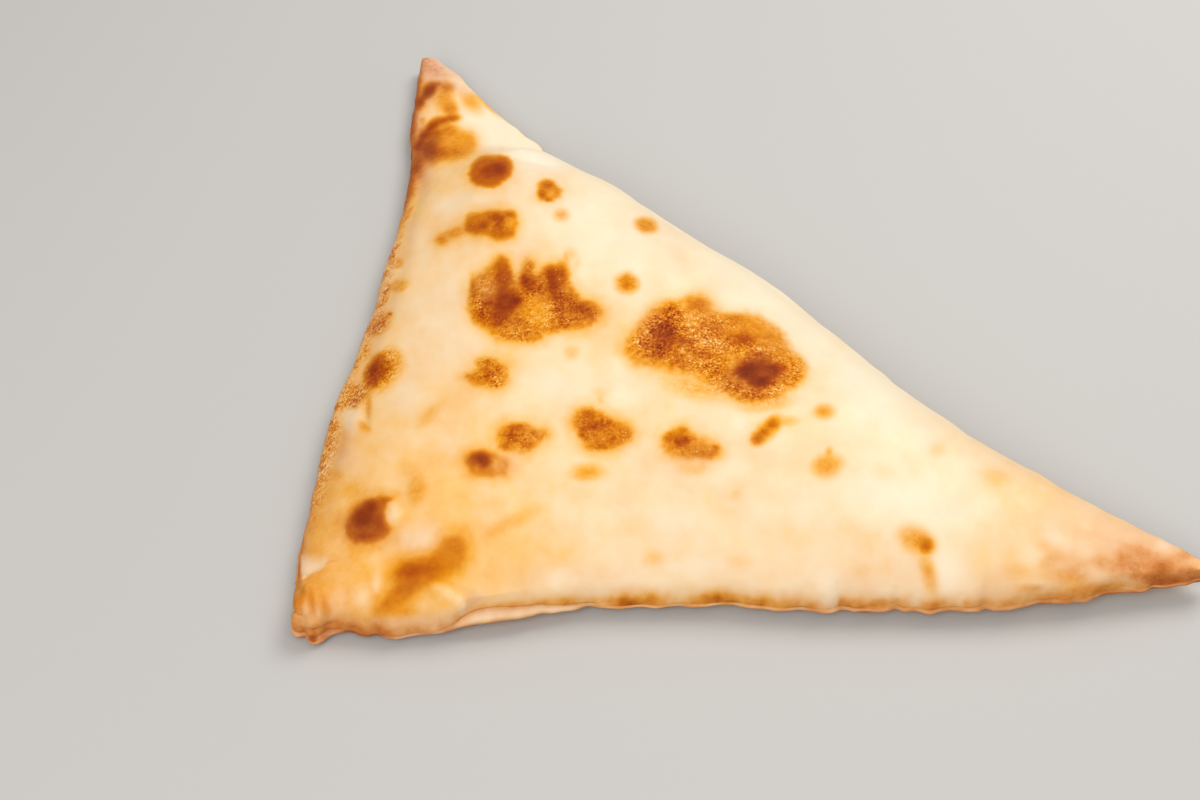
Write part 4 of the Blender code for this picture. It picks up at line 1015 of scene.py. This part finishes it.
# the left seam's pressed strip is grainy and a little browned
inside, share = edge_depths(verts[:, :2])["left"]
strip = smooth((7.5 - inside) / 4.0) * smooth((share - 0.05) / 0.1) * smooth((0.9 - share) / 0.08)
is_top = np.ones(len(verts), bool)
is_top[count_rim + len(top_points) :] = False
is_top[:count_rim] = t < 1.0
spots = smooth(0.5 + 1.6 * noise(verts[:, 0], verts[:, 1], 4.6, 64) - 0.2)
sandy_left = strip * (0.12 + 0.88 * smooth((at[:, 1] - 205) / 40))
brown = np.where(is_top, np.maximum(brown, strip * (0.16 + 0.24 * spots)), brown)
grain = np.where(is_top, np.maximum(grain, sandy_left), grain)

# the underside: baked on a hot flat surface, browned in patches, floury between them
ux, uy = verts[:, 0], verts[:, 1]
patch = 0.29 + 0.17 * noise(ux, uy, 26.0, 71) + 0.09 * noise(ux, uy, 11.0, 72) + 0.04 * noise(ux, uy, 4.2, 73)
spotted = 0.62 * noise(ux, uy, 15.0, 74) + 0.42 * noise(ux + 0.4 * uy, uy, 7.3, 76) + 0.22 * noise(ux, uy - 0.3 * ux, 3.7, 77)
freckle = smooth((spotted - 0.18) / 0.42) * (0.30 + 0.12 * noise(ux, uy, 9.0, 78))
touch = np.clip((np.maximum(patch, 0.0)**3 + (1.45 * np.maximum(freckle, 0.0))**3) ** (1 / 3), 0.08, 0.74)
low = np.zeros(len(verts))
low[:count_rim] = smooth((t - 1.62) / 0.36)
low[count_rim + len(top_points) :] = 1.0
off_table = smooth(verts[:, 2] / 2.2)
touch = touch * (1 - 0.62 * off_table) + 0.12 * off_table
brown = brown * (1 - low) + touch * low
grain = grain * (1 - low) + 0.55 * low
pale = pale * (1 - low) + low * np.clip(0.25 + 0.5 * noise(ux, uy, 13.0, 75), 0, 1)
blush = blush * (1 - low) + low * 0.35


# ===================================================================================== the crust piece
def plan_map(points, under):
    """A flat map of the crust: the top fills the lower left half of the square, the underside the other."""
    a = points[:, 0] * 0.00386 + points[:, 1] * -0.00046 + 0.040
    b = points[:, 1] * 0.00388 + points[:, 0] * -0.00004 + 0.044
    return np.where(under[:, None], np.stack([1.0 - a, 1.0 - b], 1), np.stack([a, b], 1))


mesh = bpy.data.meshes.new("crust")
mesh.from_pydata(((verts - ORIGIN_AT) * MM).tolist(), [], faces.tolist())
mesh.update()
mesh.shade_smooth()
for name, values in (("brown", brown), ("grain", grain), ("pale", pale), ("blush", blush)):
    layer = mesh.attributes.new(name, "FLOAT", "POINT")
    layer.data.foreach_set("value", np.clip(values, 0.0, 1.3).astype(np.float32))

# the map: the rim is unrolled outwards from both sheets
unrolled = verts[:, :2].copy()
down = np.linalg.norm(np.diff(ring_points.reshape(K, N, 3), axis=0), axis=2)
run_down = np.vstack([np.zeros(N), np.cumsum(down, 0)])
split = UPPER_RINGS + 1
for k in range(K):
    length = run_down[k] if k <= split else run_down[-1] - run_down[k]
    unrolled[k * N : (k + 1) * N] = INNER + OUT * (0.72 * length)[:, None]
face_under = np.zeros(len(faces), bool)
face_under[split * 2 * N : (K - 1) * 2 * N] = True
face_under[(K - 1) * 2 * N + len(top_tris) :] = True
seam_ring = INNER + OUT * (0.72 * (run_down[-1] - run_down[split]))[:, None]
corner_xy = unrolled[faces]
on_seam = (faces >= split * N) & (faces < (split + 1) * N) & face_under[:, None]
corner_xy[on_seam] = seam_ring[faces[on_seam] - split * N]
uv = plan_map(corner_xy.reshape(-1, 2), np.repeat(face_under, 3))
layer = mesh.uv_layers.new(name="OFBake")
layer.data.foreach_set("uv", uv.astype(np.float32).ravel())

crust = bpy.data.objects.new("khachapuri_crust", mesh)
bpy.context.scene.collection.objects.link(crust)


# ============================================================================================ materials
def linear(r, g, b):
    out = []
    for v in (r, g, b):
        v = v / 255.0
        out.append(v / 12.92 if v <= 0.04045 else ((v + 0.055) / 1.055) ** 2.4)
    return out


def as_lit(r, g, b):
    """The surface colour that looks like this one where the scene's light falls on it squarely."""
    return (*(0.86 * v for v in linear(r, g, b)), 1.0)


class Nodes:
    def __init__(self, name):
        self.material = bpy.data.materials.new(name)
        self.material.use_nodes = True
        self.tree = self.material.node_tree
        self.shader = self.tree.nodes["Principled BSDF"]

    def add(self, kind, **values):
        node = self.tree.nodes.new(kind)
        for key, value in values.items():
            setattr(node, key, value)
        return node

    def link(self, source, target):
        self.tree.links.new(source, target)

    def put(self, node, socket, value):
        if hasattr(value, "is_output"):
            self.link(value, node.inputs[socket])
        else:
            node.inputs[socket].default_value = value

    def math(self, operation, a, b=None, clamp=False):
        node = self.add("ShaderNodeMath", operation=operation, use_clamp=clamp)
        self.put(node, 0, a)
        if b is not None:
            self.put(node, 1, b)
        return node.outputs[0]

    def attribute(self, name):
        return self.add("ShaderNodeAttribute", attribute_name=name, attribute_type="GEOMETRY").outputs["Fac"]

    def noise(self, where, scale, detail=2.0, rough=0.5):
        node = self.add("ShaderNodeTexNoise")
        self.link(where, node.inputs["Vector"])
        node.inputs["Scale"].default_value = scale
        node.inputs["Detail"].default_value = detail
        node.inputs["Roughness"].default_value = rough
        return node.outputs["Fac"]

    def span(self, value, low, high, to_low=0.0, to_high=1.0):
        node = self.add("ShaderNodeMapRange", interpolation_type="SMOOTHSTEP", clamp=True)
        self.put(node, "Value", value)
        for socket, v in (("From Min", low), ("From Max", high), ("To Min", to_low), ("To Max", to_high)):
            self.put(node, socket, v)
        return node.outputs["Result"]

    def ramp(self, value, stops):
        node = self.add("ShaderNodeValToRGB")
        self.link(value, node.inputs["Fac"])
        ramp = node.color_ramp
        while len(ramp.elements) > 1:
            ramp.elements.remove(ramp.elements[-1])
        for i, (where, colour) in enumerate(stops):
            element = ramp.elements[0] if i == 0 else ramp.elements.new(where)
            element.position = where
            element.color = as_lit(*colour)
        return node.outputs["Color"]

    def mix(self, factor, a, b, mode="MIX"):
        node = self.add("ShaderNodeMix", data_type="RGBA", blend_type=mode)
        self.put(node, "Factor", factor)
        for socket, value in ((node.inputs[6], a), (node.inputs[7], b)):
            if hasattr(value, "is_output"):
                self.link(value, socket)
            else:
                socket.default_value = value
        return node.outputs[2]


def crust_material():
    n = Nodes("baked_crust")
    where = n.add("ShaderNodeTexCoord").outputs["Object"]
    brown, grain, pale, blush = (n.attribute(a) for a in ("brown", "grain", "pale", "blush"))
    fine = n.noise(where, 1500.0, 2.0, 0.6)
    middle = n.noise(where, 620.0, 3.0, 0.6)
    broad = n.noise(where, 150.0, 3.0, 0.55)
    # grain is strongest where the crust is half browned, and gone on plain dough
    half = n.math("MULTIPLY", n.span(brown, 0.10, 0.42), n.span(brown, 1.15, 0.62))
    coarse = n.math("MULTIPLY", grain, n.math("ADD", 0.35, n.math("MULTIPLY", n.math("MULTIPLY", grain, grain), 1.15)))
    sand = n.math("MULTIPLY", n.math("SUBTRACT", fine, 0.5), n.math("MULTIPLY", coarse, n.span(broad, 0.35, 0.65, 0.40, 1.10)))
    clumps = n.math("MULTIPLY", n.math("SUBTRACT", middle, 0.5), n.math("ADD", 0.14, n.math("MULTIPLY", grain, 0.56)))
    uneven = n.math("MULTIPLY", n.math("ADD", sand, clumps), half)
    mottle = n.math("MULTIPLY", n.math("SUBTRACT", broad, 0.5), 0.07)
    tone = n.math("ADD", n.math("ADD", brown, uneven), mottle)
    # pale specks of scorched-through flour
    cells = n.add("ShaderNodeTexVoronoi", feature="F1")
    n.link(where, cells.inputs["Vector"])
    cells.inputs["Scale"].default_value = 1150.0
    dot = n.span(cells.outputs["Distance"], 0.33, 0.12)
    split = n.add("ShaderNodeSeparateColor")
    n.link(cells.outputs["Color"], split.inputs[0])
    chosen = n.span(split.outputs[0], n.math("SUBTRACT", 1.0, n.math("MULTIPLY", grain, 0.46)),
                    n.math("SUBTRACT", 1.02, n.math("MULTIPLY", grain, 0.42)))
    speck = n.math("MULTIPLY", n.math("MULTIPLY", dot, chosen), n.span(brown, 0.22, 0.42))
    tone = n.math("SUBTRACT", tone, n.math("MULTIPLY", speck, n.math("ADD", 0.12, n.math("MULTIPLY", grain, 0.18))), clamp=True)

    golden = n.ramp(tone, (
        (0.00, (255, 238, 203)), (0.10, (254, 222, 176)), (0.20, (253, 201, 122)), (0.30, (247, 177, 60)), (0.40, (236, 154, 22)),
        (0.50, (219, 130, 4)), (0.60, (201, 105, 2)), (0.70, (181, 80, 1)), (0.80, (162, 62, 3)), (0.90, (142, 48, 8)), (1.00, (112, 38, 12)),
    ))
    rosy = n.ramp(tone, (
        (0.00, (252, 224, 196)), (0.12, (243, 200, 160)), (0.25, (230, 168, 118)), (0.40, (210, 134, 80)), (0.55, (182, 102, 50)),
        (0.70, (154, 76, 34)), (0.85, (124, 52, 26)), (1.00, (86, 34, 22)),
    ))
    colour = n.mix(n.math("MULTIPLY", blush, 0.8), golden, rosy)
    # flour and paler dough, together with the painted highlights in pale, mix towards a near-white
    flour_and_highlight = n.math("MULTIPLY", pale, n.span(tone, 0.46, 0.16))
    colour = n.mix(n.math("MULTIPLY", flour_and_highlight, 0.60), colour, as_lit(255, 248, 228))
    n.link(colour, n.shader.inputs["Base Color"])

    rough = n.math("ADD", n.span(tone, 0.1, 0.7, 0.52, 0.62), n.math("MULTIPLY", n.math("SUBTRACT", middle, 0.5), 0.25))
    n.link(rough, n.shader.inputs["Roughness"])
    n.link(n.span(tone, 0.12, 0.45, 0.20, 0.07), n.shader.inputs["Specular IOR Level"])
    n.shader.inputs["Subsurface Weight"].default_value = 0.10
    n.shader.inputs["Subsurface Radius"].default_value = (1.0, 0.45, 0.18)
    n.shader.inputs["Subsurface Scale"].default_value = 0.0020

    relief = n.math("ADD", n.math("MULTIPLY", fine, n.math("ADD", 0.25, grain)), n.math("MULTIPLY", middle, 0.8))
    relief = n.math("ADD", relief, n.math("MULTIPLY", speck, 0.8))
    bump = n.add("ShaderNodeBump")
    bump.inputs["Strength"].default_value = 0.35
    bump.inputs["Distance"].default_value = 0.00022
    n.link(relief, bump.inputs["Height"])
    n.link(bump.outputs["Normal"], n.shader.inputs["Normal"])
    return n.material


crust.data.materials.append(crust_material())
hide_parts("khachapuri")
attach(crust, "root")


# ================================================================================================ stage
def stage_material():
    n = Nodes("pale_table")
    n.shader.inputs["Base Color"].default_value = (0.50, 0.495, 0.485, 1.0)
    n.shader.inputs["Roughness"].default_value = 0.75
    n.shader.inputs["Specular IOR Level"].default_value = 0.25
    return n.material


bpy.ops.mesh.primitive_plane_add(size=8.0, location=(0.0, 0.0, -0.00005))
floor = bpy.context.object
floor.name = "floor"
floor.data.materials.append(stage_material())

world = bpy.data.worlds.new("studio")
bpy.context.scene.world = world
world.use_nodes = True
world.node_tree.nodes["Background"].inputs["Color"].default_value = (1.0, 0.985, 0.965, 1.0)
world.node_tree.nodes["Background"].inputs["Strength"].default_value = 0.53


def soft_light(name, place, aim, size, power, colour):
    data = bpy.data.lights.new(name, "AREA")
    data.shape = "DISK"
    data.size = size
    data.energy = power
    data.color = colour
    lamp = bpy.data.objects.new(name, data)
    lamp.location = place
    lamp.rotation_euler = (Vector(aim) - Vector(place)).to_track_quat("-Z", "Y").to_euler()
    bpy.context.scene.collection.objects.link(lamp)


soft_light("key", (0.36, 0.34, 0.72), (0.02, 0.0, 0.0), 0.55, 4.7, (1.0, 0.97, 0.92))
soft_light("fill", (-0.32, -0.80, 0.74), (0.0, -0.02, 0.0), 0.9, 6.5, (1.0, 0.975, 0.94))

# =============================================================================================== camera
across, below, ahead = view_axes(CAMERA)
place = (CAMERA["place"] - ORIGIN_AT) * MM
data = bpy.data.cameras.new("camera")
data.sensor_width = 36.0
data.sensor_fit = "HORIZONTAL"
data.lens = CAMERA["focal"] / 1200.0 * 36.0
data.clip_start = 0.01
camera = bpy.data.objects.new("camera", data)
camera.matrix_world = Matrix((
    (across[0], -below[0], -ahead[0], place[0]),
    (across[1], -below[1], -ahead[1], place[1]),
    (across[2], -below[2], -ahead[2], place[2]),
    (0.0, 0.0, 0.0, 1.0),
))
bpy.context.scene.collection.objects.link(camera)
bpy.context.scene.camera = camera
bpy.context.scene.view_settings.view_transform = "Standard"

bpy.context.view_layer.update()
